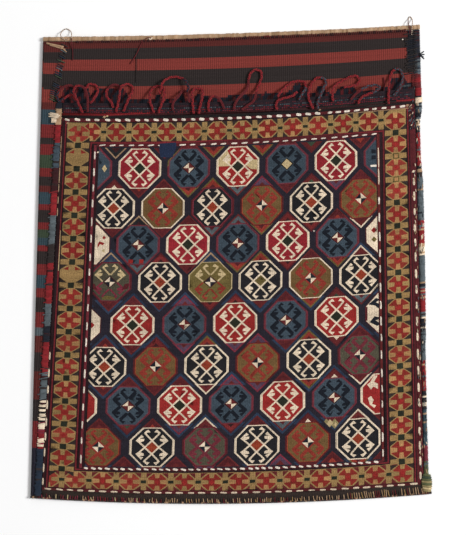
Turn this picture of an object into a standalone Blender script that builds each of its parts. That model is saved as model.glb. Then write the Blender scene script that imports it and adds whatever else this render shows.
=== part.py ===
# Soumak bag: one half of a pair of saddle bags, lying flat with its patterned face up.
# +Z is up, +Y runs to the mouth and +X to the right of the face. All sizes are in metres.
#
# The cloth is a little out of square, as woven cloth is. Each piece is laid out on a true
# rectangle of across (X) and up (Y) sizes, and panel_point() leans, flares and bows it.

import math

import bmesh
import bpy
from mathutils import Vector
from mathutils.geometry import delaunay_2d_cdt

# Face and back
FACE_WIDTH = 0.485
FACE_HEIGHT = 0.528
FACE_THICKNESS = 0.0026
CLOSURE_HEIGHT = 0.084
BACK_THICKNESS = 0.0022
POCKET_GAP = 0.0056
POCKET_SLOPE = 0.048
CLEARANCE = 0.0003

# The back's cloth that comes round the left side, and lies on the front as a flap
FLAP_WIDTH_TOP = 0.0315
FLAP_WIDTH_BOTTOM = 0.0130
FLAP_GAP = 0.0008
FLAP_NOTCH = 0.0130

# How the cloth is out of square
SQUARE_HEIGHT = 0.279
LEAN = 0.015
FLARE = 0.159
RISE = 0.040
RISE_AT_HEM = 0.033
RISE_LOST_AT_BOTTOM = 0.028
BOW = 0.144
BOW_AT_HEM = 0.054

# Weave ribs on the closure panel, three warps to a ridge
RIB_PITCH = 0.0087
RIB_HEIGHT = 0.0004
RIB_START = 0.0030

# Bands of the face, from its edges inwards
LINE_WIDTH = 0.0034
LINE_HEIGHT = 0.0006
SIDE_BAND = 0.0020
TOP_BAND = 0.0206
BOTTOM_BAND = 0.0095
SIDE_BORDER = 0.0477
TOP_BORDER = 0.0333
BOTTOM_BORDER = 0.0318
GUARD = 0.0050

# Border figures
BORDER_PITCH_UP = 0.0308
BORDER_PITCH_ACROSS = 0.0345
ROSETTE_SIZE = 0.0100
STUD_SIZE = 0.0034
FIGURE_HEIGHT = 0.0006

# Octagons of the field: height of each row's middle above the bottom edge, and its shift
ROWS = (
    (0.4418, 0.0000),
    (0.3903, 0.0019),
    (0.3407, 0.0026),
    (0.2904, 0.0012),
    (0.2368, 0.0006),
    (0.1823, -0.0012),
    (0.1291, -0.0035),
    (0.0735, -0.0042),
)
# R red, B blue, N brown, W white on dark, G green, C cream; seven and six to a row by turns
ROW_COLOURS = ("BRBRBRB", "WNWNWN", "CBRBRBC", "GWNWNW", "CRBRBRC", "WNWNWG", "RBRBRBR", "NWGWNW")
COLUMN_PITCH = 0.0664
OCTAGON_WIDTH = 0.0578
OCTAGON_HEIGHT = 0.0530
OCTAGON_FLAT_TOP = 0.0242
OCTAGON_FLAT_SIDE = 0.0190
OUTLINE_WIDTH = 0.0032
OCTAGON_RAISED = 0.0007
STAR_SCALE = 0.00132

# Edges
RIGHT_BINDING_WIDTH = 0.0096
RIGHT_BINDING_HEIGHT = 0.0062
CLOSURE_BINDING_HEIGHT = 0.0048
SEAM_WOOL_WIDTH = 0.0100
SEAM_WOOL_HEIGHT = 0.0016
BOTTOM_BINDING_WIDTH = 0.0036
BOTTOM_BINDING_HEIGHT = 0.0054
HEM_WIDTH = 0.0060
HEM_HEIGHT = 0.0052
OUTLINE_STEP = 0.045

# Closing loops and threads
LOOP_DIAMETER = 0.0036
LOOP_LAYER = 0.0046
LOOP_POINT_STEP = 0.0100
LOOP_DROP = 0.011
LOOP_CLEARANCE = 0.0006
THREAD_DIAMETER = 0.0013
THREAD_POINT_STEP = 0.0050

COLOURS = {
    "cream": (0.60, 0.48, 0.36),
    "gold": (0.36, 0.22, 0.09),
    "red": (0.28, 0.035, 0.04),
    "rust": (0.30, 0.06, 0.035),
    "maroon": (0.10, 0.022, 0.022),
    "brown": (0.14, 0.085, 0.05),
    "olive": (0.20, 0.13, 0.055),
    "charcoal": (0.032, 0.025, 0.024),
    "navy": (0.018, 0.018, 0.028),
    "blue": (0.045, 0.075, 0.11),
    "teal": (0.05, 0.075, 0.085),
    "green": (0.075, 0.09, 0.06),
}
YARNS = tuple(COLOURS)

# Stripes of the back's cloth from the hem down: height and colour. The last runs to the bottom.
STRIPES = (
    (0.0095, "maroon"),
    (0.0150, "charcoal"),
    (0.0150, "rust"),
    (0.0210, "charcoal"),
    (0.0220, "rust"),
    (0.0080, "maroon"),
    (0.0170, "teal"),
    (0.0140, "rust"),
    (0.0105, "charcoal"),
    (0.0145, "rust"),
    (0.0165, "green"),
    (0.0100, "rust"),
    (0.0140, "charcoal"),
    (0.0085, "maroon"),
    (0.0140, "teal"),
    (0.0070, "rust"),
    (0.0150, "charcoal"),
    (0.0110, "rust"),
    (0.0180, "green"),
    (0.0100, "rust"),
    (0.0180, "charcoal"),
    (0.0130, "rust"),
    (0.0145, "teal"),
    (0.0210, "rust"),
    (0.0160, "charcoal"),
    (0.0150, "rust"),
    (0.0150, "teal"),
    (0.0450, "rust"),
    (0.0200, "charcoal"),
    (0.0200, "rust"),
    (0.0250, "charcoal"),
    (0.0350, "rust"),
    (1.0000, "navy"),
)
# Wool of the sewn edges from the mouth down: height and colour. The last runs to the bottom.
SEAM_WOOL = (
    (0.026, "red"),
    (0.033, "teal"),
    (0.029, "maroon"),
    (0.033, "red"),
    (0.040, "teal"),
    (0.036, "red"),
    (0.040, "teal"),
    (0.046, "rust"),
    (0.030, "navy"),
    (0.040, "rust"),
    (0.025, "cream"),
    (0.035, "rust"),
    (1.000, "navy"),
)
EDGE_WOOL = (
    (0.030, "teal"),
    (0.038, "red"),
    (0.020, "charcoal"),
    (0.058, "teal"),
    (0.030, "red"),
    (0.062, "teal"),
    (0.031, "red"),
    (0.021, "cream"),
    (0.036, "teal"),
    (0.042, "red"),
    (0.025, "charcoal"),
    (0.045, "teal"),
    (0.022, "red"),
    (0.025, "green"),
    (1.000, "olive"),
)

# Routes of the closing loops: millimetres from the middle of the face and up from its mouth,
# and the layer that the point lies on. They are sewn to the face, and fall onto the closure.
LOOPS = (
    ("red", ((-223, 3, 0), (-230, 11, 0), (-238, 7, 0), (-246, 2, 0), (-250, 8, 0), (-248, 16, 0),
                (-241, 22, 0), (-233, 24, 0), (-224, 20, 0))),
    ("maroon", ((-213, -13, 0), (-219, -1, 1), (-225, 11, 1), (-227, 17, 1), (-223, 23, 1),
                (-215, 22, 1), (-210, 16, 1), (-207, 8, 1), (-206, -1, 1), (-206, -12, 0))),
    ("red", ((-212, 15, 0), (-210, 22, 0), (-205, 26, 0), (-197, 24, 0), (-194, 16, 0), (-198, 6, 0),
                (-203, -1, 0))),
    ("red", ((-165, 18, 0), (-166, 24, 0), (-174, 25, 0), (-181, 19, 0), (-182, 13, 0), (-180, 7, 0),
                (-175, 2, 0), (-171, -6, 0))),
    ("red", ((-167, -12, 0), (-165, -1, 0), (-163, 9, 1), (-163, 17, 1), (-161, 23, 1), (-154, 26, 0),
                (-148, 24, 0), (-146, 17, 0), (-149, 9, 0), (-153, -1, 0), (-157, -11, 0))),
    ("red", ((-115, -13, 0), (-118, -6, 0), (-121, 2, 0), (-122, 10, 0), (-121, 17, 0), (-116, 22, 0),
                (-110, 23, 0), (-104, 20, 0), (-102, 13, 0), (-103, 4, 0), (-106, -4, 0),
                (-109, -13, 0))),
    ("maroon", ((-89, -10, 0), (-90, -4, 0), (-88, 2, 0), (-82, 9, 0), (-77, 16, 0), (-71, 14, 0),
                (-68, 7, 0), (-67, 0, 0))),
    ("red", ((-109, 12, 0), (-106, 22, 1), (-104, 28, 1), (-98, 33, 0), (-89, 35, 0), (-79, 33, 0),
                (-73, 29, 1), (-69, 21, 1), (-70, 14, 1))),
    ("red", ((-61, -15, 0), (-62, -6, 0), (-63, 5, 0), (-64, 13, 0), (-61, 18, 0), (-55, 19, 0),
                (-50, 17, 0), (-49, 11, 0), (-50, 4, 0), (-52, -5, 0), (-54, -15, 0))),
    ("red", ((-40, -13, 0), (-41, -4, 0), (-39, 3, 0), (-35, 7, 0), (-28, 5, 0), (-23, -1, 0),
                (-19, -10, 0))),
    ("maroon", ((-6, -11, 0), (-4, -3, 0), (1, 4, 0), (9, 12, 0), (13, 20, 0), (14, 29, 0), (17, 37, 0),
                (23, 41, 0), (30, 39, 0), (32, 33, 0), (30, 25, 0), (26, 16, 0), (24, 7, 0),
                (21, -1, 0), (14, -6, 0), (5, -12, 0))),
    ("navy", ((54, 3, 0), (59, 10, 0), (66, 17, 0), (74, 22, 0), (83, 23, 0), (91, 21, 0), (93, 13, 0),
                (88, 5, 0), (83, -3, 0))),
    ("red", ((53, -14, 0), (52, -6, 0), (57, -1, 0), (66, 1, 0), (74, 3, 0), (81, 8, 0))),
    ("red", ((103, -16, 0), (99, -8, 0), (96, 1, 0), (98, 11, 0), (102, 20, 0), (109, 26, 0),
                (117, 25, 0), (121, 19, 0), (118, 12, 0), (113, 1, 0), (109, -7, 0), (109, -16, 0))),
    ("red", ((130, -8, 0), (129, 0, 0), (130, 8, 0), (135, 15, 0), (145, 20, 0), (154, 24, 0),
                (162, 25, 0), (167, 20, 0), (164, 13, 0), (155, 11, 0), (145, 10, 0))),
    ("red", ((164, -14, 0), (168, -7, 0), (176, -3, 0), (187, 0, 0), (194, 5, 0), (190, 9, 0),
                (180, 9, 0), (170, 5, 0), (161, -1, 0), (154, -8, 0))),
    ("red", ((206, -18, 0), (206, -7, 0), (207, 5, 0), (209, 18, 0), (213, 27, 0), (220, 30, 0),
                (225, 26, 0), (227, 17, 0), (224, 7, 0), (220, -1, 0), (213, -7, 0))),
)
# Thread loops at the hem: millimetres from the middle and up from the hem's outer edge.
THREADS = (
    ("hanging_loop_left", ((-231, -32), (-232, -18), (-234, -7), (-234, 0), (-236, 7), (-242, 11),
                    (-247, 9), (-250, 4), (-248, -1), (-243, -4), (-239, -3))),
    ("hanging_loop_right", ((238, -12), (238, -4), (236, 3), (237, 9), (239, 12), (242, 9), (242, 3),
                    (241, -3), (241, -13))),
)

# Worked out from the sizes above
HEM_LEVEL = FACE_HEIGHT + CLOSURE_HEIGHT
FACE_BASE = BACK_THICKNESS + CLEARANCE
FLAP_TOP = 2 * BACK_THICKNESS + FLAP_GAP
HALF_FACE = FACE_WIDTH / 2


def mix(a, b, share):
    return a + (b - a) * share


def clamp(value, low=0.0, high=1.0):
    return max(low, min(high, value))


def panel_point(across, up):
    # Where a place on the true rectangle lies on the cloth.
    x = across * (1 + FLARE * (SQUARE_HEIGHT - up)) + LEAN * (up - SQUARE_HEIGHT)
    towards_hem = clamp((up - FACE_HEIGHT) / CLOSURE_HEIGHT)
    below_top = clamp(1 - up / FACE_HEIGHT)
    rise = mix(RISE, RISE_AT_HEM, towards_hem) - RISE_LOST_AT_BOTTOM * below_top**6
    bow = mix(BOW, BOW_AT_HEM, towards_hem)
    return x, up + rise * x + bow * x * x


def world(across, up, z):
    return Vector((*panel_point(across, up), z))


def make_material(name):
    material = bpy.data.materials.new(name)
    material.use_nodes = True
    shader = material.node_tree.nodes["Principled BSDF"]
    shader.inputs["Base Color"].default_value = (*COLOURS[name], 1.0)
    shader.inputs["Roughness"].default_value = 0.9
    shader.inputs["Metallic"].default_value = 0.0
    return material


def make_object(name, bm, materials):
    bmesh.ops.remove_doubles(bm, verts=bm.verts, dist=1e-6)
    bmesh.ops.recalc_face_normals(bm, faces=bm.faces)
    mesh = bpy.data.meshes.new(name)
    bm.to_mesh(mesh)
    bm.free()
    for yarn in YARNS:
        mesh.materials.append(materials[yarn])
    piece = bpy.data.objects.new(name, mesh)
    bpy.context.scene.collection.objects.link(piece)
    return piece


def steps_between(low, high, step):
    # Even steps from low to high, each no longer than step.
    count = max(1, math.ceil((high - low) / step - 1e-9))
    return [mix(low, high, i / count) for i in range(count + 1)]


def bands_down(bands, top, bottom):
    # The bands as (upper end, lower end, colour), cut off at the bottom.
    found = []
    level = top
    for height, colour in bands:
        lower = max(bottom, level - height)
        found.append((level, lower, colour))
        level = lower
        if level <= bottom + 1e-6:
            break
    return found


def band_levels(bands, top, bottom, step):
    # Heights from the bottom up that hold every band's ends, no further apart than step.
    levels = [bottom]
    for upper, lower, _ in reversed(bands_down(bands, top, bottom)):
        levels.extend(steps_between(lower, upper, step)[1:])
    return levels


def band_colour(bands, top, bottom, up):
    for upper, lower, colour in bands_down(bands, top, bottom):
        if lower <= up <= upper:
            return YARNS.index(colour)
    return 0


# Shape of the face


def pocket_lift(across, up):
    # How far the face stands off the back, so that the pocket is open at the mouth.
    from_side = HALF_FACE - abs(across)
    return POCKET_GAP * clamp(min(from_side, up) / POCKET_SLOPE)


def face_top(across, up):
    return FACE_BASE + pocket_lift(across, up) + FACE_THICKNESS


class Drawing:
    # Points, lines and coloured outlines on the true rectangle, with the height of each point.

    def __init__(self):
        self.points = []
        self.heights = []
        self.edges = []
        self.fields = []

    def line(self, corners, height=0.0, closed=False, step=None):
        path = list(corners)
        if closed:
            path.append(path[0])
        if step:
            path = self.in_steps(path, step)
        first = len(self.points)
        self.points.extend(path)
        self.heights.extend([height] * len(path))
        self.edges.extend((first + i, first + i + 1) for i in range(len(path) - 1))
        return range(first, len(self.points))

    def in_steps(self, path, step):
        fine = [path[0]]
        for (x0, y0), (x1, y1) in zip(path, path[1:]):
            count = max(1, math.ceil(math.hypot(x1 - x0, y1 - y0) / step))
            fine.extend((mix(x0, x1, i / count), mix(y0, y1, i / count)) for i in range(1, count + 1))
        return fine

    def field(self, corners, colour, height=0.0, step=None):
        self.line(corners, height, closed=True, step=step)
        xs = [x for x, _ in corners]
        ys = [y for _, y in corners]
        self.fields.append((min(xs), max(xs), min(ys), max(ys), corners, YARNS.index(colour)))

    def peak(self, point, height):
        self.points.append(point)
        self.heights.append(height)

    def colour_at(self, x, y):
        colour = 0
        for x0, x1, y0, y1, corners, yarn in self.fields:
            if x0 <= x <= x1 and y0 <= y <= y1 and is_inside(x, y, corners):
                colour = yarn
        return colour

    def triangles(self):
        # The triangles inside the outermost lines, and the point that each drawn point became.
        flat = [Vector((x * 1000, y * 1000)) for x, y in self.points]
        points, _, faces, sources, _, _ = delaunay_2d_cdt(flat, self.edges, [], 1, 1e-4, True)
        heights = [max((self.heights[i] for i in found), default=0.0) for found in sources]
        became = {drawn: i for i, found in enumerate(sources) for drawn in found}
        return [(p.x / 1000, p.y / 1000) for p in points], heights, faces, became


def is_inside(x, y, corners):
    inside = False
    x1, y1 = corners[-1]
    for x2, y2 in corners:
        if (y1 > y) != (y2 > y) and x < (x2 - x1) * (y - y1) / (y2 - y1) + x1:
            inside = not inside
        x1, y1 = x2, y2
    return inside


def rectangle(left, right, bottom, top):
    return [(left, bottom), (right, bottom), (right, top), (left, top)]


def cut_to(corners, left, right):
    # The outline's part between two upright lines.
    for limit, side in ((left, 1), (right, -1)):
        kept = []
        for i, (x1, y1) in enumerate(corners):
            x0, y0 = corners[i - 1]
            if (side * x0 > side * limit) != (side * x1 > side * limit):
                kept.append((limit, mix(y0, y1, (limit - x0) / (x1 - x0))))
            if side * x1 > side * limit:
                kept.append((x1, y1))
        corners = kept
    return corners


def octagon(x, y, width, height, flat_top, flat_side):
    a, b = flat_top / 2, width / 2
    c, d = flat_side / 2, height / 2
    return [(x + a, y + d), (x + b, y + c), (x + b, y - c), (x + a, y - d),
            (x - a, y - d), (x - b, y - c), (x - b, y + c), (x - a, y + d)]


# Half of an arm of the star, in units of STAR_SCALE from the octagon's middle
STAR_UPPER_HOOK = ((0.5, 7.0), (8.0, 15.0), (3.6, 17.6))
STAR_SIDE_HOOK = ((7.4, 0.5), (15.6, 7.6), (8.4, 12.2))
STAR_DIAMOND = ((0.0, 7.2), (7.6, 0.0), (0.0, -7.2), (-7.6, 0.0))
STAR_EYE = ((0.0, 3.6), (3.8, 0.0), (0.0, -3.6), (-3.8, 0.0))

# Ground, outline, star and eye of each kind of octagon
OCTAGON_KINDS = {
    "R": ("red", "cream", "cream", "green"),
    "B": ("blue", "maroon", "navy", "cream"),
    "N": ("brown", "rust", "rust", "navy"),
    "W": ("navy", "cream", "cream", "rust"),
    "G": ("green", "rust", "olive", "red"),
    "C": ("cream", "maroon", "red", "olive"),
}


def field_limits():
    side = HALF_FACE - SIDE_BAND - SIDE_BORDER
    bottom = BOTTOM_BAND + BOTTOM_BORDER
    top = FACE_HEIGHT - TOP_BAND - TOP_BORDER
    return side, bottom, top


def draw_octagons(drawing):
    side, _, _ = field_limits()
    limit = side - LINE_WIDTH
    for row, (middle, shift) in enumerate(ROWS):
        kinds = ROW_COLOURS[row]
        for column, kind in enumerate(kinds):
            x = (column - (len(kinds) - 1) / 2) * COLUMN_PITCH + shift
            draw_octagon(drawing, x, middle, OCTAGON_KINDS[kind], limit)


def draw_octagon(drawing, x, y, kind, limit):
    ground, outline, star, eye = kind
    outer = octagon(x, y, OCTAGON_WIDTH, OCTAGON_HEIGHT, OCTAGON_FLAT_TOP, OCTAGON_FLAT_SIDE)
    slant = 2 * OUTLINE_WIDTH * (math.sqrt(2) - 1)
    inner = octagon(x, y, OCTAGON_WIDTH - 2 * OUTLINE_WIDTH, OCTAGON_HEIGHT - 2 * OUTLINE_WIDTH,
                    OCTAGON_FLAT_TOP - slant, OCTAGON_FLAT_SIDE - slant)
    is_whole = abs(x) + OCTAGON_WIDTH / 2 < limit
    if not is_whole:
        outer = cut_to(outer, -limit, limit)
        inner = cut_to(inner, -limit + OUTLINE_WIDTH / 2, limit - OUTLINE_WIDTH / 2)
    if len(outer) < 3 or len(inner) < 3:
        return
    drawing.field(outer, outline)
    drawing.field(inner, ground, OCTAGON_RAISED)
    if is_whole:
        draw_star(drawing, x, y, star, eye)


def draw_star(drawing, x, y, star, eye):
    drawing.field(star_part(STAR_DIAMOND, x, y, 1, 1), star, OCTAGON_RAISED)
    drawing.field(star_part(STAR_EYE, x, y, 1, 1), eye, OCTAGON_RAISED)
    drawing.peak((x, y), 2 * OCTAGON_RAISED)
    for right in (-1, 1):
        for upper in (-1, 1):
            drawing.field(star_part(STAR_UPPER_HOOK, x, y, right, upper), star, OCTAGON_RAISED)
            drawing.field(star_part(STAR_SIDE_HOOK, x, y, right, upper), star, OCTAGON_RAISED)


def star_part(corners, x, y, right, upper):
    return [(x + right * STAR_SCALE * a, y + upper * STAR_SCALE * b) for a, b in corners]


def draw_border_figures(drawing):
    # Dark studs and red rosettes by turns, round all four sides.
    side, bottom, top = field_limits()
    across = side + SIDE_BORDER / 2
    first_up = BOTTOM_BAND + BOTTOM_BORDER / 2
    last_up = FACE_HEIGHT - TOP_BAND - TOP_BORDER / 2
    size_across = min(ROSETTE_SIZE, SIDE_BORDER / 2 - GUARD - LINE_WIDTH)
    count_up = max(1, round((last_up - first_up) / BORDER_PITCH_UP))
    for right in (-1, 1):
        for i in range(count_up + 1):
            up = mix(first_up, last_up, i / count_up)
            draw_stud(drawing, right * across, up)
            if i < count_up:
                draw_rosette(drawing, right * across, mix(first_up, last_up, (i + 0.5) / count_up), size_across)
    count = max(2, round(2 * across / BORDER_PITCH_ACROSS))
    for up, border in ((first_up, BOTTOM_BORDER), (last_up, TOP_BORDER)):
        size = min(ROSETTE_SIZE, border / 2 - GUARD - LINE_WIDTH)
        for i in range(count):
            draw_rosette(drawing, mix(-across, across, (i + 0.5) / count), up, size)
            if i:
                draw_stud(drawing, mix(-across, across, i / count), up)


def draw_rosette(drawing, x, y, size):
    drawing.field(octagon(x, y, 2 * size, 2 * size, size, size), "rust")
    drawing.peak((x, y), FIGURE_HEIGHT)


def draw_stud(drawing, x, y):
    s = STUD_SIZE
    drawing.field([(x - s, y - s), (x + s, y - s), (x + s, y + s), (x - s, y + s)], "navy")
    drawing.peak((x, y), FIGURE_HEIGHT)


def draw_line_round(drawing, side, bottom, top):
    # A ridge of cream wool round a rectangle whose outer edge is given.
    for inset, height in ((0.0, 0.0), (LINE_WIDTH / 2, LINE_HEIGHT), (LINE_WIDTH, 0.0)):
        corners = rectangle(-side + inset, side - inset, bottom + inset, top - inset)
        drawing.field(corners, "maroon" if inset == LINE_WIDTH else "cream", height, step=OUTLINE_STEP)


def draw_face():
    drawing = Drawing()
    side, bottom, top = field_limits()
    drawing.field(rectangle(-HALF_FACE, HALF_FACE, 0.0, FACE_HEIGHT), "charcoal", step=OUTLINE_STEP)
    outer = (HALF_FACE - SIDE_BAND, BOTTOM_BAND, FACE_HEIGHT - TOP_BAND)
    draw_line_round(drawing, *outer)
    inset = LINE_WIDTH + GUARD
    drawing.field(rectangle(-outer[0] + inset, outer[0] - inset, outer[1] + inset, outer[2] - inset),
                  "gold", step=OUTLINE_STEP)
    drawing.field(rectangle(-side - GUARD, side + GUARD, bottom - GUARD, top + GUARD),
                  "maroon", step=OUTLINE_STEP)
    draw_line_round(drawing, side, bottom, top)
    drawing.field(rectangle(-side + LINE_WIDTH, side - LINE_WIDTH, bottom + LINE_WIDTH, top - LINE_WIDTH),
                  "navy")
    draw_octagons(drawing)
    draw_border_figures(drawing)
    draw_pocket_creases(drawing)
    return drawing


def pocket_creases():
    flat = HALF_FACE - POCKET_SLOPE
    return [
        [(-flat, FACE_HEIGHT), (-flat, POCKET_SLOPE), (flat, POCKET_SLOPE), (flat, FACE_HEIGHT)],
        [(-flat, POCKET_SLOPE), (-HALF_FACE, 0.0)],
        [(flat, POCKET_SLOPE), (HALF_FACE, 0.0)],
    ]


def draw_pocket_creases(drawing):
    for crease in pocket_creases():
        drawing.line(crease, step=OUTLINE_STEP)


def rim_of(faces):
    # Edges that only one triangle has, in that triangle's direction.
    edges = set()
    for face in faces:
        for a, b in zip(face, face[1:] + face[:1]):
            edges.add((a, b))
    return [(a, b) for a, b in edges if (b, a) not in edges]


def make_face_panel(materials):
    drawing = draw_face()
    points, heights, faces, _ = drawing.triangles()
    rim = rim_of(faces)

    under = Drawing()
    under.points = [points[a] for a, _ in rim]
    place = {a: i for i, (a, _) in enumerate(rim)}
    under.edges = [(place[a], place[b]) for a, b in rim]
    under.heights = [0.0] * len(rim)
    for crease in pocket_creases():
        under.line(crease, step=OUTLINE_STEP)
    under_points, _, under_faces, became = under.triangles()

    bm = bmesh.new()
    upper = [bm.verts.new(world(x, y, face_top(x, y) + h)) for (x, y), h in zip(points, heights)]
    lower = [bm.verts.new(world(x, y, face_top(x, y) - FACE_THICKNESS)) for x, y in under_points]
    for face in faces:
        made = bm.faces.new([upper[i] for i in face])
        x = sum(points[i][0] for i in face) / 3
        y = sum(points[i][1] for i in face) / 3
        made.material_index = drawing.colour_at(x, y)
    for face in under_faces:
        bm.faces.new([lower[i] for i in reversed(face)])
    for a, b in rim:
        bm.faces.new([upper[b], upper[a], lower[became[place[a]]], lower[became[place[b]]]])
    return make_object("face_panel", bm, materials)


# Shape of the back


def flap_width(up):
    return mix(FLAP_WIDTH_BOTTOM, FLAP_WIDTH_TOP, up / HEM_LEVEL)


def flap_inner(up):
    # The flap's inner edge: along the face's side, and cut back at the mouth.
    inner = -HALF_FACE - CLEARANCE
    if up <= FACE_HEIGHT:
        return inner
    return inner - FLAP_NOTCH * (HEM_LEVEL - up) / CLOSURE_HEIGHT


def left_edge(up):
    return -HALF_FACE - flap_width(up)


def back_columns():
    fold = FLAP_TOP / 2
    return fold, 9


def back_section(up):
    # The cloth's outline seen along its length, from the right edge under to the left, and round.
    fold, count = back_columns()
    left = left_edge(up) + fold
    under = [(mix(HALF_FACE, left, i / (count - 1)), 0.0) for i in range(count)]
    turn = [math.pi * i / 6 for i in range(1, 6)]
    outer_turn = [(left - fold * math.sin(a), fold - fold * math.cos(a)) for a in turn]
    inner_radius = fold - BACK_THICKNESS
    inner_turn = [(left - inner_radius * math.sin(a), fold - inner_radius * math.cos(a)) for a in reversed(turn)]
    flap = [(left, FLAP_TOP), (flap_inner(up), FLAP_TOP), (flap_inner(up), FLAP_TOP - BACK_THICKNESS),
            (left, FLAP_TOP - BACK_THICKNESS)]
    return under + outer_turn + flap + inner_turn + [(left, BACK_THICKNESS)]


def make_back_panel(materials):
    bm = bmesh.new()
    mouth = (FACE_HEIGHT, FACE_HEIGHT + RIB_START)
    levels = [level for level in band_levels(STRIPES, HEM_LEVEL, 0.0, OUTLINE_STEP)
              if all(abs(level - own) > RIB_START / 2 for own in mouth)]
    levels = sorted(levels + list(mouth))
    rows = []
    for up in levels:
        rows.append([bm.verts.new(world(x, up, z)) for x, z in back_section(up)])
    for j in range(len(levels) - 1):
        middle = (levels[j] + levels[j + 1]) / 2
        colour = band_colour(STRIPES, HEM_LEVEL, 0.0, middle)
        for i in range(len(rows[j]) - 1):
            made = bm.faces.new([rows[j][i], rows[j + 1][i], rows[j + 1][i + 1], rows[j][i + 1]])
            made.material_index = colour
    add_back_upper_side(bm, levels, rows)
    return make_object("back_panel", bm, materials)


def add_back_upper_side(bm, levels, rows):
    # The side that faces up inside the bag, with the ribs of the closure panel, and the cut edges.
    fold, count = back_columns()
    drawing = Drawing()
    ends = []
    for up in (levels[0], levels[-1]):
        left = left_edge(up) + fold
        ends.append(drawing.line([(mix(HALF_FACE, left, i / (count - 1)), up) for i in range(count)]))
    right_line = drawing.line([(HALF_FACE, up) for up in levels])
    left_line = drawing.line([(left_edge(up) + fold, up) for up in levels])
    draw_ribs(drawing, levels)
    points, heights, faces, became = drawing.triangles()

    upper = [bm.verts.new(world(x, y, BACK_THICKNESS + h)) for (x, y), h in zip(points, heights)]
    on_left = {became[i] for i in left_line}
    for face in faces:
        if on_left.issuperset(face):
            continue
        middle = sum(points[i][1] for i in face) / 3
        made = bm.faces.new([upper[i] for i in face])
        made.material_index = band_colour(STRIPES, HEM_LEVEL, 0.0, middle)
    right = [upper[became[i]] for i in right_line]
    for j in range(len(levels) - 1):
        bm.faces.new([rows[j][0], right[j], right[j + 1], rows[j + 1][0]])
    for row, line in ((rows[0], ends[0]), (rows[-1], ends[1])):
        inner = [upper[became[i]] for i in line]
        for i in range(count - 1):
            bm.faces.new([row[i], row[i + 1], inner[i + 1], inner[i]])
        close_turn(bm, row[count - 1:count + 7], row[count + 7:])


def close_turn(bm, outer, inner):
    # The cut end of the fold and the flap. Both sides have the same number of points.
    inner = list(reversed(inner))
    for i in range(len(outer) - 1):
        bm.faces.new([outer[i], outer[i + 1], inner[i + 1], inner[i]])


def draw_ribs(drawing, levels):
    inset = 2 * RIB_PITCH
    left = left_edge(FACE_HEIGHT) + inset
    right = HALF_FACE - RIB_PITCH / 2
    count = max(1, round((right - left) / RIB_PITCH))
    rows = [up for up in levels if up > FACE_HEIGHT]
    rows[-1] -= RIB_START
    for i in range(2 * count + 1):
        x = mix(left, right, i / (2 * count))
        height = RIB_HEIGHT if i % 2 else 0.0
        drawing.line([(x, up) for up in rows], height)


# Sewn edges


def make_bead(name, materials, stations, colours, width, height, base):
    # A rounded strip of wool. Each station is (across, up) of its middle and its sideways direction.
    bm = bmesh.new()
    section = [(-0.5, 0.30), (-0.28, 0.0), (0.28, 0.0), (0.5, 0.30), (0.5, 0.70), (0.28, 1.0), (-0.28, 1.0),
               (-0.5, 0.70)]
    rings = []
    for across, up, side_x, side_y in stations:
        ring = []
        for share, rise in section:
            place = (across + share * width * side_x, up + share * width * side_y)
            ring.append(bm.verts.new(world(*place, base + rise * height)))
        rings.append(ring)
    for j in range(len(rings) - 1):
        for i in range(len(section)):
            k = (i + 1) % len(section)
            made = bm.faces.new([rings[j][i], rings[j + 1][i], rings[j + 1][k], rings[j][k]])
            made.material_index = colours[j]
    bm.faces.new(rings[0]).material_index = colours[0]
    bm.faces.new(list(reversed(rings[-1]))).material_index = colours[-1]
    return make_object(name, bm, materials)


def make_upright_bead(name, materials, across, bottom, top, wool, width, height, base):
    levels = band_levels(wool, top, bottom, OUTLINE_STEP)
    stations = [(across, up, 1, 0) for up in levels]
    colours = [band_colour(wool, top, bottom, (a + b) / 2) for a, b in zip(levels, levels[1:])]
    return make_bead(name, materials, stations, colours, width, height, base)


def make_level_bead(name, materials, up, left, right, colour, width, height):
    stations = [(across, up, 0, 1) for across in steps_between(left, right, OUTLINE_STEP)]
    colours = [YARNS.index(colour)] * (len(stations) - 1)
    return make_bead(name, materials, stations, colours, width, height, 0.0)


def make_sewn_edges(materials):
    right = HALF_FACE + CLEARANCE + RIGHT_BINDING_WIDTH / 2
    make_upright_bead("right_edge_binding", materials, right, 0.0, FACE_HEIGHT, EDGE_WOOL,
                      RIGHT_BINDING_WIDTH, RIGHT_BINDING_HEIGHT, 0.0)
    make_upright_bead("closure_edge_binding", materials, right, FACE_HEIGHT + CLEARANCE, HEM_LEVEL,
                      ((1.0, "navy"),), RIGHT_BINDING_WIDTH, CLOSURE_BINDING_HEIGHT, 0.0)
    seam = -HALF_FACE - CLEARANCE - SEAM_WOOL_WIDTH / 2
    make_upright_bead("left_seam_wool", materials, seam, 0.0, FACE_HEIGHT, SEAM_WOOL,
                      SEAM_WOOL_WIDTH, SEAM_WOOL_HEIGHT, FLAP_TOP + CLEARANCE)
    outer = right + RIGHT_BINDING_WIDTH / 2
    make_level_bead("bottom_edge_stitching", materials, -CLEARANCE - BOTTOM_BINDING_WIDTH / 2,
                    left_edge(0.0), outer, "cream", BOTTOM_BINDING_WIDTH, BOTTOM_BINDING_HEIGHT)
    make_level_bead("mouth_hem", materials, HEM_LEVEL + CLEARANCE + HEM_WIDTH / 2,
                    left_edge(HEM_LEVEL), outer, "cream", HEM_WIDTH, HEM_HEIGHT)


# Cords


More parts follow.
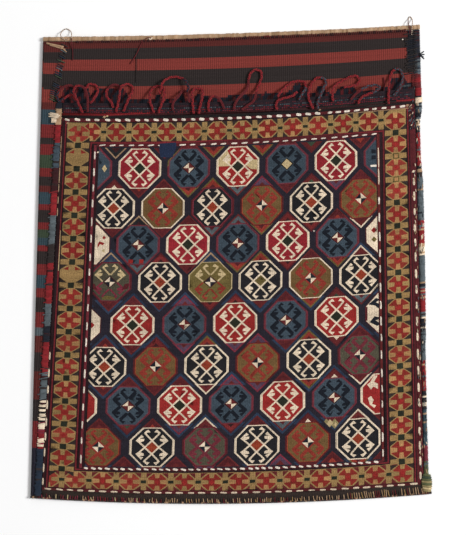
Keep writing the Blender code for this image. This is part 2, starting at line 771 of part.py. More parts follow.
def smooth_route(points, step):
    # Points at even steps along a smooth curve through the route's own points.
    fine = []
    for i in range(len(points) - 1):
        before = points[max(i - 1, 0)]
        start, end = points[i], points[i + 1]
        after = points[min(i + 2, len(points) - 1)]
        for k in range(12):
            t = k / 12
            fine.append(0.5 * (2 * start + (end - before) * t
                               + (2 * before - 5 * start + 4 * end - after) * t * t
                               + (3 * start - before - 3 * end + after) * t**3))
    fine.append(points[-1])
    lengths = [0.0]
    for a, b in zip(fine, fine[1:]):
        lengths.append(lengths[-1] + (b - a).length)
    count = max(3, round(lengths[-1] / step))
    route = []
    k = 0
    for i in range(count + 1):
        want = lengths[-1] * i / count
        while k < len(lengths) - 2 and lengths[k + 1] < want:
            k += 1
        share = (want - lengths[k]) / (lengths[k + 1] - lengths[k])
        route.append(fine[k].lerp(fine[k + 1], share))
    return route


def make_cord(name, route, diameter, material):
    curve = bpy.data.curves.new(name, "CURVE")
    curve.dimensions = "3D"
    curve.bevel_depth = diameter / 2
    curve.bevel_resolution = 2
    curve.use_fill_caps = True
    spline = curve.splines.new("POLY")
    spline.points.add(len(route) - 1)
    for point, place in zip(spline.points, route):
        point.co = (*place, 1.0)
    curve.materials.append(material)
    piece = bpy.data.objects.new(name, curve)
    bpy.context.scene.collection.objects.link(piece)
    return piece


def loop_height(across, above_mouth, layer):
    # The height of a loop's middle where it lies on the face, on the closure or between them.
    on_closure = BACK_THICKNESS + RIB_HEIGHT
    on_face = face_top(across, FACE_HEIGHT)
    share = clamp(1 - (above_mouth - 1.5 * LOOP_DIAMETER) / LOOP_DROP)
    height = mix(on_closure + CLEARANCE, on_face + LOOP_CLEARANCE, share)
    return height + LOOP_DIAMETER / 2 + layer * LOOP_LAYER


def make_closing_loops(materials):
    for number, (colour, route) in enumerate(LOOPS, start=1):
        points = []
        for across_mm, above_mm, layer in route:
            across, above = across_mm / 1000, above_mm / 1000
            points.append(world(across, FACE_HEIGHT + above, loop_height(across, above, layer)))
        make_cord(f"closing_loop_{number:02d}", smooth_route(points, LOOP_POINT_STEP), LOOP_DIAMETER,
                  materials[colour])


def thread_height(beyond_hem):
    # A thread lies on the closure, over the hem, and then on what the bag lies on.
    on_closure = BACK_THICKNESS + RIB_HEIGHT + CLEARANCE
    on_hem = HEM_HEIGHT + CLEARANCE
    climb = clamp((beyond_hem + 2 * HEM_WIDTH) / HEM_WIDTH)
    fall = clamp((beyond_hem - THREAD_DIAMETER) / (1.5 * HEM_HEIGHT))
    return mix(mix(on_closure, on_hem, climb), 0.0, fall) + THREAD_DIAMETER / 2


def make_threads(materials):
    outer_edge = HEM_LEVEL + CLEARANCE + HEM_WIDTH
    for name, route in THREADS:
        points = []
        for across_mm, beyond_mm in route:
            across, beyond = across_mm / 1000, beyond_mm / 1000
            points.append(world(across, outer_edge + beyond, thread_height(beyond)))
        smooth = smooth_route(points, THREAD_POINT_STEP)
        for place in smooth:
            place.z = max(place.z, THREAD_DIAMETER / 2 + CLEARANCE / 2)
        make_cord(name, smooth, THREAD_DIAMETER, materials["maroon"])


def centre_on_origin(solids, cords):
    # The origin is the middle of the bag's box, on what it lies on. Cords don't count.
    corners = [v.co for piece in solids for v in piece.data.vertices]
    x = (min(c.x for c in corners) + max(c.x for c in corners)) / 2
    y = (min(c.y for c in corners) + max(c.y for c in corners)) / 2
    for piece in solids + cords:
        piece.location = (-x, -y, 0.0)


def main():
    for piece in list(bpy.data.objects):
        bpy.data.objects.remove(piece)
    materials = {name: make_material(name) for name in YARNS}
    make_face_panel(materials)
    make_back_panel(materials)
    make_sewn_edges(materials)
    make_closing_loops(materials)
    make_threads(materials)
    pieces = list(bpy.context.scene.collection.objects)
    solids = [piece for piece in pieces if piece.type == "MESH"]
    cords = [piece for piece in pieces if piece.type == "CURVE"]
    centre_on_origin(solids, cords)


main()
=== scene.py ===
# Soumak bag: the looks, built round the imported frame. Sizes are in metres.
#
# Each cloth is drawn on a true rectangle of across and up sizes, as the frame's own solids are,
# and panel_point() leans, flares and bows it onto the frame.

import math
import random

import bpy
import numpy as np
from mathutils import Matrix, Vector
from mathutils.geometry import delaunay_2d_cdt

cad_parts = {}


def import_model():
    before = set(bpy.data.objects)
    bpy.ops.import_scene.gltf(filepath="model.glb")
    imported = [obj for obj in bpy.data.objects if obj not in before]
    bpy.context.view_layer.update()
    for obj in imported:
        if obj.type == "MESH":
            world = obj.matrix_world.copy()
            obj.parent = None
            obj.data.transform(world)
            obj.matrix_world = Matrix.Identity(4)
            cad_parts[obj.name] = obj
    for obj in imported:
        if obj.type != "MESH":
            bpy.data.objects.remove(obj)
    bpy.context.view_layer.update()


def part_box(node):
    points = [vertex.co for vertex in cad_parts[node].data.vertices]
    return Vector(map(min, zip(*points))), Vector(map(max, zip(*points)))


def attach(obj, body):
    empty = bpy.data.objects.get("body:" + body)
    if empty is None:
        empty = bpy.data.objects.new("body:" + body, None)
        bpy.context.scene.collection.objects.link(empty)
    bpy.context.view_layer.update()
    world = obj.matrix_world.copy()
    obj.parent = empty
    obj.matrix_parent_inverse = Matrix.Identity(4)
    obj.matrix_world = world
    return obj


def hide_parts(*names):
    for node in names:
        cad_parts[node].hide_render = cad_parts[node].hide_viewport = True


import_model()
chance = random.Random(11)

# The cloth's sizes, as the frame has them
FACE_WIDTH = 0.485
FACE_HEIGHT = 0.528
FACE_THICKNESS = 0.0026
CLOSURE_HEIGHT = 0.084
BACK_THICKNESS = 0.0022
POCKET_GAP = 0.0056
POCKET_SLOPE = 0.048
CLEARANCE = 0.0003
FLAP_WIDTH_TOP = 0.0315
FLAP_WIDTH_BOTTOM = 0.013
FLAP_GAP = 0.0008
FLAP_NOTCH = 0.013
SQUARE_HEIGHT = 0.279
LEAN = 0.015
FLARE = 0.159
RISE = 0.04
RISE_AT_HEM = 0.033
RISE_LOST_AT_BOTTOM = 0.028
BOW = 0.144
BOW_AT_HEM = 0.054
HEM_LEVEL = FACE_HEIGHT + CLOSURE_HEIGHT
HALF_FACE = FACE_WIDTH / 2
FACE_BASE = BACK_THICKNESS + CLEARANCE
FLAP_TOP = 2 * BACK_THICKNESS + FLAP_GAP

# Edges
RIGHT_BINDING_WIDTH = 0.0096
RIGHT_BINDING_HEIGHT = 0.0062
CLOSURE_BINDING_HEIGHT = 0.0048
SEAM_WOOL_HEIGHT = 0.0016
BOTTOM_BINDING_WIDTH = 0.0036
BOTTOM_BINDING_HEIGHT = 0.0054
HEM_WIDTH = 0.006
HEM_HEIGHT = 0.0052

# Loops and threads
LOOP_DIAMETER = 0.0036
LOOP_LAYER = 0.0046
LOOP_DROP = 0.011
LOOP_CLEARANCE = 0.0006
THREAD_DIAMETER = 0.0013
RIB_HEIGHT = 0.0004
RIB_PITCH = 0.0029
ON_CLOSURE = BACK_THICKNESS + RIB_HEIGHT

# The face's bands
LINE_WIDTH = 0.0034
SIDE_BAND = 0.002
TOP_BAND = 0.0206
BOTTOM_BAND = 0.0095
SIDE_BORDER = 0.0477
TOP_BORDER = 0.0333
BOTTOM_BORDER = 0.0318

# One wrap of the soumak's wool. The motifs are drawn in wraps.
WRAP = 0.00132

# The photograph's frame, laid on the cloth: one of its pixels covers one wrap
PHOTO_WIDTH = 466
PHOTO_HEIGHT = 535
MIDDLE_COLUMN_PX = 235.4
BOTTOM_ROW_PX = 501.3
CLOTH_LEVEL = 0.008
CAMERA_DISTANCE = 2.2
SENSOR = 0.036


def linear(rgb):
    # A colour given as screen values from 0 to 255, as Blender's linear light.
    found = []
    for value in rgb:
        share = value / 255
        found.append(share / 12.92 if share <= 0.04045 else ((share + 0.055) / 1.055) ** 2.4)
    return tuple(found)


YARN = {
    "cream": (224, 204, 178), "white": (230, 218, 202), "tan": (190, 168, 126),
    "gold": (150, 120, 77), "pale_gold": (164, 122, 80), "crimson": (140, 36, 44),
    "red": (144, 40, 38), "border_red": (132, 44, 37), "rust": (142, 58, 38),
    "rust_red": (136, 52, 42), "grey_green": (78, 73, 59), "dark_red": (98, 38, 38),
    "orange": (138, 54, 43), "maroon": (84, 32, 36), "dark_maroon": (58, 28, 30),
    "plum": (120, 44, 58), "plum_red": (112, 42, 50), "line_red": (116, 38, 44),
    "line_black": (42, 26, 29), "wine": (108, 44, 53), "mauve_grey": (90, 66, 76),
    "mauve": (84, 60, 78), "brown": (108, 82, 50), "olive": (102, 88, 50), "moss": (40, 42, 32),
    "green": (58, 70, 54), "night": (34, 33, 36), "channel": (40, 36, 45), "slate": (44, 56, 76),
    "ink": (30, 32, 40), "navy": (40, 38, 48), "top_band": (42, 32, 38), "indigo": (36, 46, 70),
    "blue": (60, 72, 82), "blue_ink": (24, 28, 36), "teal": (52, 68, 76), "grey_teal": (84, 92, 96),
    "black": (30, 26, 26), "charcoal": (48, 41, 40), "stripe_red": (126, 54, 48),
    "stripe_maroon": (89, 40, 37), "flap_red": (112, 40, 40), "hem": (163, 132, 103),
    "hem_pale": (176, 146, 116), "hem_dark": (146, 116, 87), "wool_red": (128, 34, 38),
    "wool_dark_red": (92, 30, 34), "wool_grey": (62, 73, 82), "wool_dim": (58, 52, 58),
    "brown_black": (50, 41, 37), "navy_wool": (34, 44, 58), "olive_green": (84, 88, 58),
    "olive_tan": (140, 126, 88),
}


def mix(a, b, share):
    return a + (b - a) * share


def smooth_step(share):
    share = np.clip(share, 0.0, 1.0)
    return share * share * (3 - 2 * share)


def panel_point(across, up):
    # Where a place on the true rectangle lies on the cloth, before the frame's own shift.
    x = across * (1 + FLARE * (SQUARE_HEIGHT - up)) + LEAN * (up - SQUARE_HEIGHT)
    towards_hem = np.clip((up - FACE_HEIGHT) / CLOSURE_HEIGHT, 0, 1)
    below_top = np.clip(1 - up / FACE_HEIGHT, 0, 1)
    rise = mix(RISE, RISE_AT_HEM, towards_hem) - RISE_LOST_AT_BOTTOM * below_top**6
    bow = mix(BOW, BOW_AT_HEM, towards_hem)
    return x, up + rise * x + bow * x * x


def frame_shift():
    low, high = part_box("face_panel")
    return low.x - panel_point(-HALF_FACE, 0.0)[0], high.y - panel_point(HALF_FACE, FACE_HEIGHT)[1]


SHIFT_X, SHIFT_Y = frame_shift()


def world(across, up, z):
    x, y = panel_point(across, up)
    return Vector((float(x) + SHIFT_X, float(y) + SHIFT_Y, float(z)))


def world_array(points, heights):
    # Many places at once: an array of (across, up) rows and an array of heights.
    x, y = panel_point(points[:, 0], points[:, 1])
    return np.column_stack((x + SHIFT_X, y + SHIFT_Y, heights))


def waves(x, y, length, seed):
    # Gentle unevenness from -1 to 1, the same each run.
    draw = random.Random(seed)
    total = 0.0
    for _ in range(5):
        angle = draw.uniform(0, 2 * math.pi)
        size = length * draw.uniform(0.7, 1.5)
        phase = draw.uniform(0, 2 * math.pi)
        total = total + np.sin(2 * math.pi * (x * math.cos(angle) + y * math.sin(angle)) / size + phase)
    return total / 5


def pocket_lift(across, up):
    from_side = HALF_FACE - np.abs(across)
    share = np.minimum(from_side, up) / POCKET_SLOPE
    return POCKET_GAP * np.clip(share, 0, 1)


def face_top(across, up):
    return FACE_BASE + pocket_lift(across, up) + FACE_THICKNESS


# Camera, light and floor


def place_camera():
    data = bpy.data.cameras.new("camera")
    data.sensor_width = SENSOR * 1000
    data.lens = SENSOR * 1000 * CAMERA_DISTANCE / (PHOTO_HEIGHT * WRAP)
    camera = bpy.data.objects.new("camera", data)
    bpy.context.scene.collection.objects.link(camera)
    x = (PHOTO_WIDTH / 2 - MIDDLE_COLUMN_PX) * WRAP + SHIFT_X
    y = (BOTTOM_ROW_PX - PHOTO_HEIGHT / 2) * WRAP + SHIFT_Y
    camera.location = (x, y, CLOTH_LEVEL + CAMERA_DISTANCE)
    bpy.context.scene.camera = camera


KEY_LIGHT_PLACE = (3.9, 0.7, 3.5)
KEY_LIGHT_SIZE = 1.5
KEY_LIGHT_POWER = 258
FILL_LIGHT_PLACE = (-1.2, -0.4, 2.6)
FILL_LIGHT_SIZE = 2.4
FILL_LIGHT_POWER = 6
SKY_STRENGTH = 0.42
FLOOR_SIZE = 14.0


def add_area_light(name, place, size, power):
    data = bpy.data.lights.new(name, "AREA")
    data.size = size
    data.energy = power
    light = bpy.data.objects.new(name, data)
    bpy.context.scene.collection.objects.link(light)
    light.location = place
    light.rotation_euler = (Vector((0, 0, 0)) - Vector(place)).to_track_quat("-Z", "Y").to_euler()


def light_scene():
    add_area_light("key_light", KEY_LIGHT_PLACE, KEY_LIGHT_SIZE, KEY_LIGHT_POWER)
    add_area_light("fill_light", FILL_LIGHT_PLACE, FILL_LIGHT_SIZE, FILL_LIGHT_POWER)
    sky = bpy.data.worlds.new("studio")
    sky.use_nodes = True
    background = sky.node_tree.nodes["Background"]
    background.inputs["Color"].default_value = (1.0, 1.0, 1.0, 1.0)
    background.inputs["Strength"].default_value = SKY_STRENGTH
    bpy.context.scene.world = sky
    bpy.context.scene.view_settings.view_transform = "Standard"


def lay_floor():
    half = FLOOR_SIZE / 2
    mesh = bpy.data.meshes.new("floor")
    mesh.from_pydata([(-half, -half, 0), (half, -half, 0), (half, half, 0), (-half, half, 0)], [],
                     [(0, 1, 2, 3)])
    floor = bpy.data.objects.new("floor", mesh)
    bpy.context.scene.collection.objects.link(floor)
    material = bpy.data.materials.new("floor_white")
    material.use_nodes = True
    shader = material.node_tree.nodes["Principled BSDF"]
    shader.inputs["Base Color"].default_value = (0.97, 0.97, 0.97, 1.0)
    shader.inputs["Roughness"].default_value = 0.9
    mesh.materials.append(material)


# Materials


class Nodes:
    # Short ways to add shader nodes to one material.

    def __init__(self, name, roughness, sheen):
        self.material = bpy.data.materials.new(name)
        self.material.use_nodes = True
        self.tree = self.material.node_tree
        self.shader = self.tree.nodes["Principled BSDF"]
        self.shader.inputs["Roughness"].default_value = roughness
        self.shader.inputs["Specular IOR Level"].default_value = 0.08
        self.shader.inputs["Sheen Weight"].default_value = sheen
        self.shader.inputs["Sheen Roughness"].default_value = 0.6

    def link(self, value, socket):
        if isinstance(value, bpy.types.NodeSocket):
            self.tree.links.new(value, socket)
        else:
            socket.default_value = value

    def math(self, operation, *values):
        node = self.tree.nodes.new("ShaderNodeMath")
        node.operation = operation
        for value, socket in zip(values, node.inputs):
            self.link(value, socket)
        return node.outputs[0]

    def times(self, result, *values):
        for value in values:
            result = self.math("MULTIPLY", result, value)
        return result

    def attribute(self, name, output):
        node = self.tree.nodes.new("ShaderNodeAttribute")
        node.attribute_name = name
        return node.outputs[output]

    def cloth(self):
        # The place on the flat cloth, and its parts across and up.
        place = self.attribute("cloth", "Vector")
        split = self.tree.nodes.new("ShaderNodeSeparateXYZ")
        self.link(place, split.inputs[0])
        return place, split.outputs["X"], split.outputs["Y"]

    def noise(self, place, scale, detail=2.0):
        stretched = self.tree.nodes.new("ShaderNodeVectorMath")
        stretched.operation = "MULTIPLY"
        self.link(place, stretched.inputs[0])
        stretched.inputs[1].default_value = scale
        node = self.tree.nodes.new("ShaderNodeTexNoise")
        self.link(stretched.outputs[0], node.inputs["Vector"])
        node.inputs["Scale"].default_value = 1.0
        node.inputs["Detail"].default_value = detail
        return node.outputs["Fac"]

    def between(self, value, low, high):
        # A value from 0 to 1, as one from low to high.
        node = self.tree.nodes.new("ShaderNodeMapRange")
        self.link(value, node.inputs["Value"])
        for name, limit in (("From Min", 0.0), ("From Max", 1.0), ("To Min", low), ("To Max", high)):
            node.inputs[name].default_value = limit
        return node.outputs["Result"]

    def bump(self, height, distance, strength):
        node = self.tree.nodes.new("ShaderNodeBump")
        node.inputs["Strength"].default_value = strength
        node.inputs["Distance"].default_value = distance
        self.link(height, node.inputs["Height"])
        self.link(node.outputs["Normal"], self.shader.inputs["Normal"])

    def scale_colour(self, factor):
        # The yarn's colour, lighter or darker by a factor: dye and speckle, and in the woven cloths also
        # painted shade in the weave's grooves.
        node = self.tree.nodes.new("ShaderNodeVectorMath")
        node.operation = "SCALE"
        self.link(self.attribute("yarn", "Color"), node.inputs[0])
        self.link(factor, node.inputs["Scale"])
        self.link(node.outputs[0], self.shader.inputs["Base Color"])


WRAP_ROW = 0.00175
WRAP_ALONG = 0.0022
WRAP_SLANT = 0.55
WEFT_PITCH = 0.0011


def make_soumak_material():
    # Rows of wool wrapped round the warps, slanting one way and then the other.
    nodes = Nodes("soumak_wool", 0.92, 0.03)
    place, across, up = nodes.cloth()
    sway = nodes.between(nodes.noise(place, (60, 60, 1)), -0.6, 0.6)
    rows = nodes.math("ADD", nodes.math("DIVIDE", up, WRAP_ROW), sway)
    along_row = nodes.math("FRACT", rows)
    odd_row = nodes.math("FLOORED_MODULO", nodes.math("FLOOR", rows), 2.0)
    turn = nodes.math("SUBTRACT", nodes.times(odd_row, 2.0), 1.0)
    slant = nodes.times(nodes.math("SUBTRACT", along_row, 0.5), turn, WRAP_SLANT)
    wraps = nodes.math("FRACT", nodes.math("ADD", nodes.math("DIVIDE", across, WRAP_ALONG), slant))
    across_wrap = nodes.math("SINE", nodes.times(wraps, math.pi))
    across_row = nodes.math("SINE", nodes.times(along_row, math.pi))
    height = nodes.times(nodes.math("POWER", across_wrap, 0.5), nodes.math("POWER", across_row, 0.6))
    fibres = nodes.noise(place, (1400, 2600, 1), 3.0)
    nodes.bump(nodes.math("ADD", height, nodes.times(fibres, 0.5)), 0.0005, 0.85)
    dyeing = nodes.between(nodes.noise(place, (30, 160, 1), 4.0), 0.6, 1.4)
    speckle = nodes.between(nodes.noise(place, (560, 640, 1), 3.0), 0.2, 1.8)
    # The colour is also darker where the wraps' relief is low: painted shade in the grooves between wraps and
    # rows.
    nodes.scale_colour(nodes.times(dyeing, speckle, nodes.between(height, 0.74, 1.06)))
    return nodes.material


def make_flatweave_material():
    # Weft-faced cloth: fine wefts run across, over warps that show as ribs.
    nodes = Nodes("flatweave_wool", 0.92, 0.03)
    place, across, up = nodes.cloth()
    sway = nodes.between(nodes.noise(place, (90, 40, 1)), -0.8, 0.8)
    wefts = nodes.math("ADD", nodes.math("DIVIDE", up, WEFT_PITCH), sway)
    weft = nodes.math("SINE", nodes.times(wefts, 2 * math.pi))
    ribs = nodes.times(nodes.math("DIVIDE", across, RIB_PITCH), math.pi)
    rib = nodes.math("ABSOLUTE", nodes.math("COSINE", ribs))
    fibres = nodes.noise(place, (1200, 2400, 1), 3.0)
    nodes.bump(nodes.math("ADD", nodes.math("ADD", nodes.times(weft, 0.25), rib), fibres), 0.0004, 0.8)
    dyeing = nodes.between(nodes.noise(place, (5, 420, 1), 3.0), 0.74, 1.26)
    speckle = nodes.between(nodes.noise(place, (500, 700, 1)), 0.66, 1.34)
    # The colour is also darker between the warps' ribs: painted shade in the grooves.
    nodes.scale_colour(nodes.times(dyeing, speckle, nodes.between(rib, 0.72, 1.06)))
    return nodes.material


def make_yarn_material(name, speckle_low, speckle_high):
    # Loose or wrapped wool or cotton.
    nodes = Nodes(name, 0.9, 0.06)
    place = nodes.tree.nodes.new("ShaderNodeTexCoord").outputs["Object"]
    nodes.bump(nodes.noise(place, (1600, 1600, 1600), 3.0), 0.0005, 0.6)
    nodes.scale_colour(nodes.between(nodes.noise(place, (520, 520, 520)), speckle_low, speckle_high))
    return nodes.material


# Meshes


class Mesh:
    # Points, faces and the yarn colour of each face, gathered into one object.

    def __init__(self):
        self.points = []
        self.faces = []
        self.colours = []

    def add(self, points, faces, colours):
        first = len(self.points)
        self.points.extend(points)
        self.faces.extend([first + i for i in face] for face in faces)
        self.colours.extend(colours)

    def make(self, name, material, cloth=None):
        mesh = bpy.data.meshes.new(name)
        mesh.from_pydata([tuple(p) for p in self.points], [], self.faces)
        mesh.update()
        colours = np.ones((len(mesh.loops), 4), np.float32)
        sizes = [len(face) for face in self.faces]
        colours[:, :3] = np.repeat(np.array(self.colours, np.float32), sizes, axis=0)
        layer = mesh.color_attributes.new("yarn", "FLOAT_COLOR", "CORNER")
        layer.data.foreach_set("color", colours.ravel())
        if cloth is not None:
            place = np.zeros((len(mesh.vertices), 3), np.float32)
            place[:, :2] = cloth
            places = mesh.attributes.new("cloth", "FLOAT_VECTOR", "POINT")
            places.data.foreach_set("vector", place.ravel())
        mesh.materials.append(material)
        mesh.polygons.foreach_set("use_smooth", [True] * len(mesh.polygons))
        piece = bpy.data.objects.new(name, mesh)
        bpy.context.scene.collection.objects.link(piece)
        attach(piece, "root")
        return piece


def tint(colour, spread=0.06):
    # The yarn's colour, a little lighter or darker each time it is used.
    factor = 1 + chance.uniform(-spread, spread)
    return tuple(value * factor for value in linear(YARN[colour]))


def sideways(path, i):
    # The directions to the side of a path and over it.
    ahead = path[min(i + 1, len(path) - 1)] - path[max(i - 1, 0)]
    side = ahead.cross(Vector((0, 0, 1)))
    side = side.normalized() if side.length > 1e-9 else Vector((1, 0, 0))
    return side, side.cross(ahead).normalized()


def tube_faces(steps, sides):
    # The faces round each step of a tube, and its two ends.
    faces = []
    for i in range(steps):
        for k in range(sides):
            n = (k + 1) % sides
            faces.append([i * sides + k, i * sides + n, (i + 1) * sides + n, (i + 1) * sides + k])
    faces.append(list(range(sides))[::-1])
    faces.append([steps * sides + k for k in range(sides)])
    return faces


def tube(path, radius, sides, colours):
    # A tube along a path. colours has one entry for each of the path's places.
    points = []
    for i, place in enumerate(path):
        side, top = sideways(path, i)
        for k in range(sides):
            angle = 2 * math.pi * k / sides
            points.append(place + side * (radius * math.cos(angle)) + top * (radius * math.sin(angle)))
    face_colours = [colour for colour in colours[:-1] for _ in range(sides)]
    return points, tube_faces(len(path) - 1, sides), face_colours + [colours[0], colours[-1]]


def smooth_route(points, step):
    # Points at even steps along a smooth curve through the route's own points.
    fine = []
    for i in range(len(points) - 1):
        before = points[max(i - 1, 0)]
        start, end = points[i], points[i + 1]
        after = points[min(i + 2, len(points) - 1)]
        for k in range(12):
            t = k / 12
            fine.append(0.5 * (2 * start + (end - before) * t
                               + (2 * before - 5 * start + 4 * end - after) * t * t
                               + (3 * start - before - 3 * end + after) * t**3))
    fine.append(points[-1])
    lengths = [0.0]
    for a, b in zip(fine, fine[1:]):
        lengths.append(lengths[-1] + (b - a).length)
    count = max(3, round(lengths[-1] / step))
    route = []
    k = 0
    for i in range(count + 1):
        want = lengths[-1] * i / count
        while k < len(lengths) - 2 and lengths[k + 1] < want:
            k += 1
        share = (want - lengths[k]) / (lengths[k + 1] - lengths[k])
        route.append(fine[k].lerp(fine[k + 1], share))
    return route


# Closing loops: colours by share of the length, and the route in millimetres from the middle of
# the face and up from its mouth, with a third number where the point lies on a higher layer
LOOPS = (
    ((("wool_red", 0.3), ("ink", 0.6), ("wool_dark_red", 1.0)),
     ((-223, 3), (-230, 11), (-238, 7), (-246, 2), (-250, 8), (-248, 16),
      (-241, 22), (-233, 24), (-224, 20))),
    ((("wool_red", 0.5), ("wool_dark_red", 1.0)),
     ((-213, -13), (-219, -1, 1), (-225, 11, 1), (-227, 17, 1), (-223, 23, 1), (-215, 22, 1),
      (-210, 16, 1), (-207, 8, 1), (-206, -1, 1), (-206, -12))),
    ((("wool_red", 1.0),),
     ((-212, 15), (-210, 22), (-205, 26), (-197, 24), (-194, 16), (-198, 6),
      (-203, -1))),
    ((("wool_dark_red", 0.4), ("wool_red", 1.0)),
     ((-165, 18), (-166, 24), (-174, 25), (-181, 19), (-182, 13), (-180, 7),
      (-175, 2), (-171, -6))),
    ((("wool_red", 1.0),),
     ((-167, -12), (-165, -1), (-163, 9, 1), (-163, 17, 1), (-161, 23, 1), (-154, 26),
      (-148, 24), (-146, 17), (-149, 9), (-153, -1), (-157, -11))),
    ((("wool_red", 1.0),),
     ((-115, -13), (-118, -6), (-121, 2), (-122, 10), (-121, 17), (-116, 22),
      (-110, 23), (-104, 20), (-102, 13), (-103, 4), (-106, -4), (-109, -13))),
    ((("wool_dark_red", 1.0),),
     ((-89, -10), (-90, -4), (-88, 2), (-82, 9), (-77, 16), (-71, 14),
      (-68, 7), (-67, 0))),
    ((("wool_red", 0.68), ("ink", 1.0)),
     ((-109, 12), (-106, 22, 1), (-104, 28, 1), (-98, 33), (-89, 35), (-79, 33),
      (-73, 29, 1), (-69, 21, 1), (-70, 14, 1))),
    ((("wool_red", 1.0),),
     ((-61, -15), (-62, -6), (-63, 5), (-64, 13), (-61, 18), (-55, 19),
      (-50, 17), (-49, 11), (-50, 4), (-52, -5), (-54, -15))),
    ((("wool_red", 0.5), ("wool_dark_red", 1.0)),
     ((-40, -13), (-41, -4), (-39, 3), (-35, 7), (-28, 5), (-23, -1),
      (-19, -10))),
    ((("wool_dark_red", 0.35), ("wool_red", 0.75), ("wool_dark_red", 1.0)),
     ((-6, -11), (-4, -3), (1, 4), (9, 12), (13, 20), (14, 29), (17, 37),
      (23, 41), (30, 39), (32, 33), (30, 25), (26, 16), (24, 7), (21, -1),
      (14, -6), (5, -12))),
    ((("wool_red", 0.7), ("wool_dim", 1.0)),
     ((54, 3), (59, 10), (66, 17), (74, 22), (83, 23), (91, 21), (93, 13),
      (88, 5), (83, -3))),
    ((("wool_red", 1.0),),
     ((53, -14), (52, -6), (57, -1), (66, 1), (74, 3), (81, 8))),
    ((("wool_red", 0.5), ("wool_dim", 1.0)),
     ((103, -16), (99, -8), (96, 1), (98, 11), (102, 20), (109, 26),
      (117, 25), (121, 19), (118, 12), (113, 1), (109, -7), (109, -16))),
    ((("wool_red", 1.0),),
     ((130, -8), (129, 0), (130, 8), (135, 15), (145, 20), (154, 24),
      (162, 25), (167, 20), (164, 13), (155, 11), (145, 10))),
    ((("wool_red", 0.3), ("wool_dim", 0.75), ("wool_dark_red", 1.0)),
     ((164, -14), (168, -7), (176, -3), (187, 0), (194, 5), (190, 9),
      (180, 9), (170, 5), (161, -1), (154, -8))),
    ((("wool_red", 0.5), ("wool_dim", 1.0)),
     ((206, -18), (206, -7), (207, 5), (209, 18), (213, 27), (220, 30),
      (225, 26), (227, 17), (224, 7), (220, -1), (213, -7))),
)
THREADS = (
    ("hanging_loop_left", ((-231, -32), (-232, -18), (-234, -7), (-234, 0), (-236, 7), (-242, 11),
                           (-247, 9), (-250, 4), (-248, -1), (-243, -4), (-239, -3))),
    ("hanging_loop_right", ((238, -12), (238, -4), (236, 3), (237, 9), (239, 12), (242, 9),
                            (242, 3), (241, -3), (241, -13))),
)
BRAID_STEP = 0.0009
BRAID_PITCH = 0.0085
BRAID_HALF_WIDTH = 0.00105
BRAID_HALF_HEIGHT = 0.00045
STRAND_RADIUS = 0.00078
STRAND_SIDES = 7
PLY_PITCH = 0.0026
THREAD_SIDES = 6

# Shares of the thread's diameter
PLY_OFFSET = 0.25
PLY_RADIUS = 0.27

# The share of a thread from which one of its plies is cream
CREAM_FROM = 0.38

# The three strands of each colour of loop
STRANDS = {
    "wool_red": ("wool_red", "wool_red", "wool_dark_red"),
    "wool_dim": ("wool_dim", "maroon", "wool_grey"),
    "ink": ("ink", "navy_wool", "maroon"),
}


def loop_height(across, above_mouth, layer):
    on_face = float(face_top(across, FACE_HEIGHT))
    share = float(np.clip(1 - (above_mouth - 1.5 * LOOP_DIAMETER) / LOOP_DROP, 0, 1))
    height = mix(ON_CLOSURE + CLEARANCE, on_face + LOOP_CLEARANCE, share)
    return height + LOOP_DIAMETER / 2 + layer * LOOP_LAYER


def share_colour(shares, share):
    for colour, limit in shares:
        if share <= limit:
            return colour
    return shares[-1][0]


def braid(path, shares):
    # Three strands of wool that cross over each other by turns.
    made = Mesh()
    for strand in range(3):
        own = []
        colours = []
        for i, place in enumerate(path):
            side, top = sideways(path, i)
            phase = 2 * math.pi * (i * BRAID_STEP / BRAID_PITCH + strand / 3)
            own.append(place + side * (BRAID_HALF_WIDTH * math.sin(phase))
                       + top * (BRAID_HALF_HEIGHT * math.sin(2 * phase)))
            colour = share_colour(shares, i / len(path))
            colours.append(tint(STRANDS.get(colour, (colour,) * 3)[strand], 0.16))
        made.add(*tube(own, STRAND_RADIUS, STRAND_SIDES, colours))
    return made


def finish_piece(made, name, node, material, cloth=None):
    piece = made.make(name, material, cloth)
    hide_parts(node)
    return piece


def finish_cord(made, name, node, material):
    piece = finish_piece(made, name, node, material)


def make_closing_loops(material):
    for number, (shares, route) in enumerate(LOOPS, start=1):
        points = []
        for across_mm, above_mm, *layer in route:
            across, above = across_mm / 1000, above_mm / 1000
            points.append(world(across, FACE_HEIGHT + above, loop_height(across, above, sum(layer))))
        path = smooth_route(points, BRAID_STEP)
        name = f"closing_loop_{number:02d}"
        finish_cord(braid(path, shares), f"{name}_braid", name, material)


def thread_height(beyond_hem):
    climb = float(np.clip((beyond_hem + 2 * HEM_WIDTH) / HEM_WIDTH, 0, 1))
    fall = float(np.clip((beyond_hem - THREAD_DIAMETER) / (1.5 * HEM_HEIGHT), 0, 1))
    on_cloth = mix(ON_CLOSURE + CLEARANCE, HEM_HEIGHT + CLEARANCE, climb)
    return mix(on_cloth, 0.0, fall) + THREAD_DIAMETER / 2


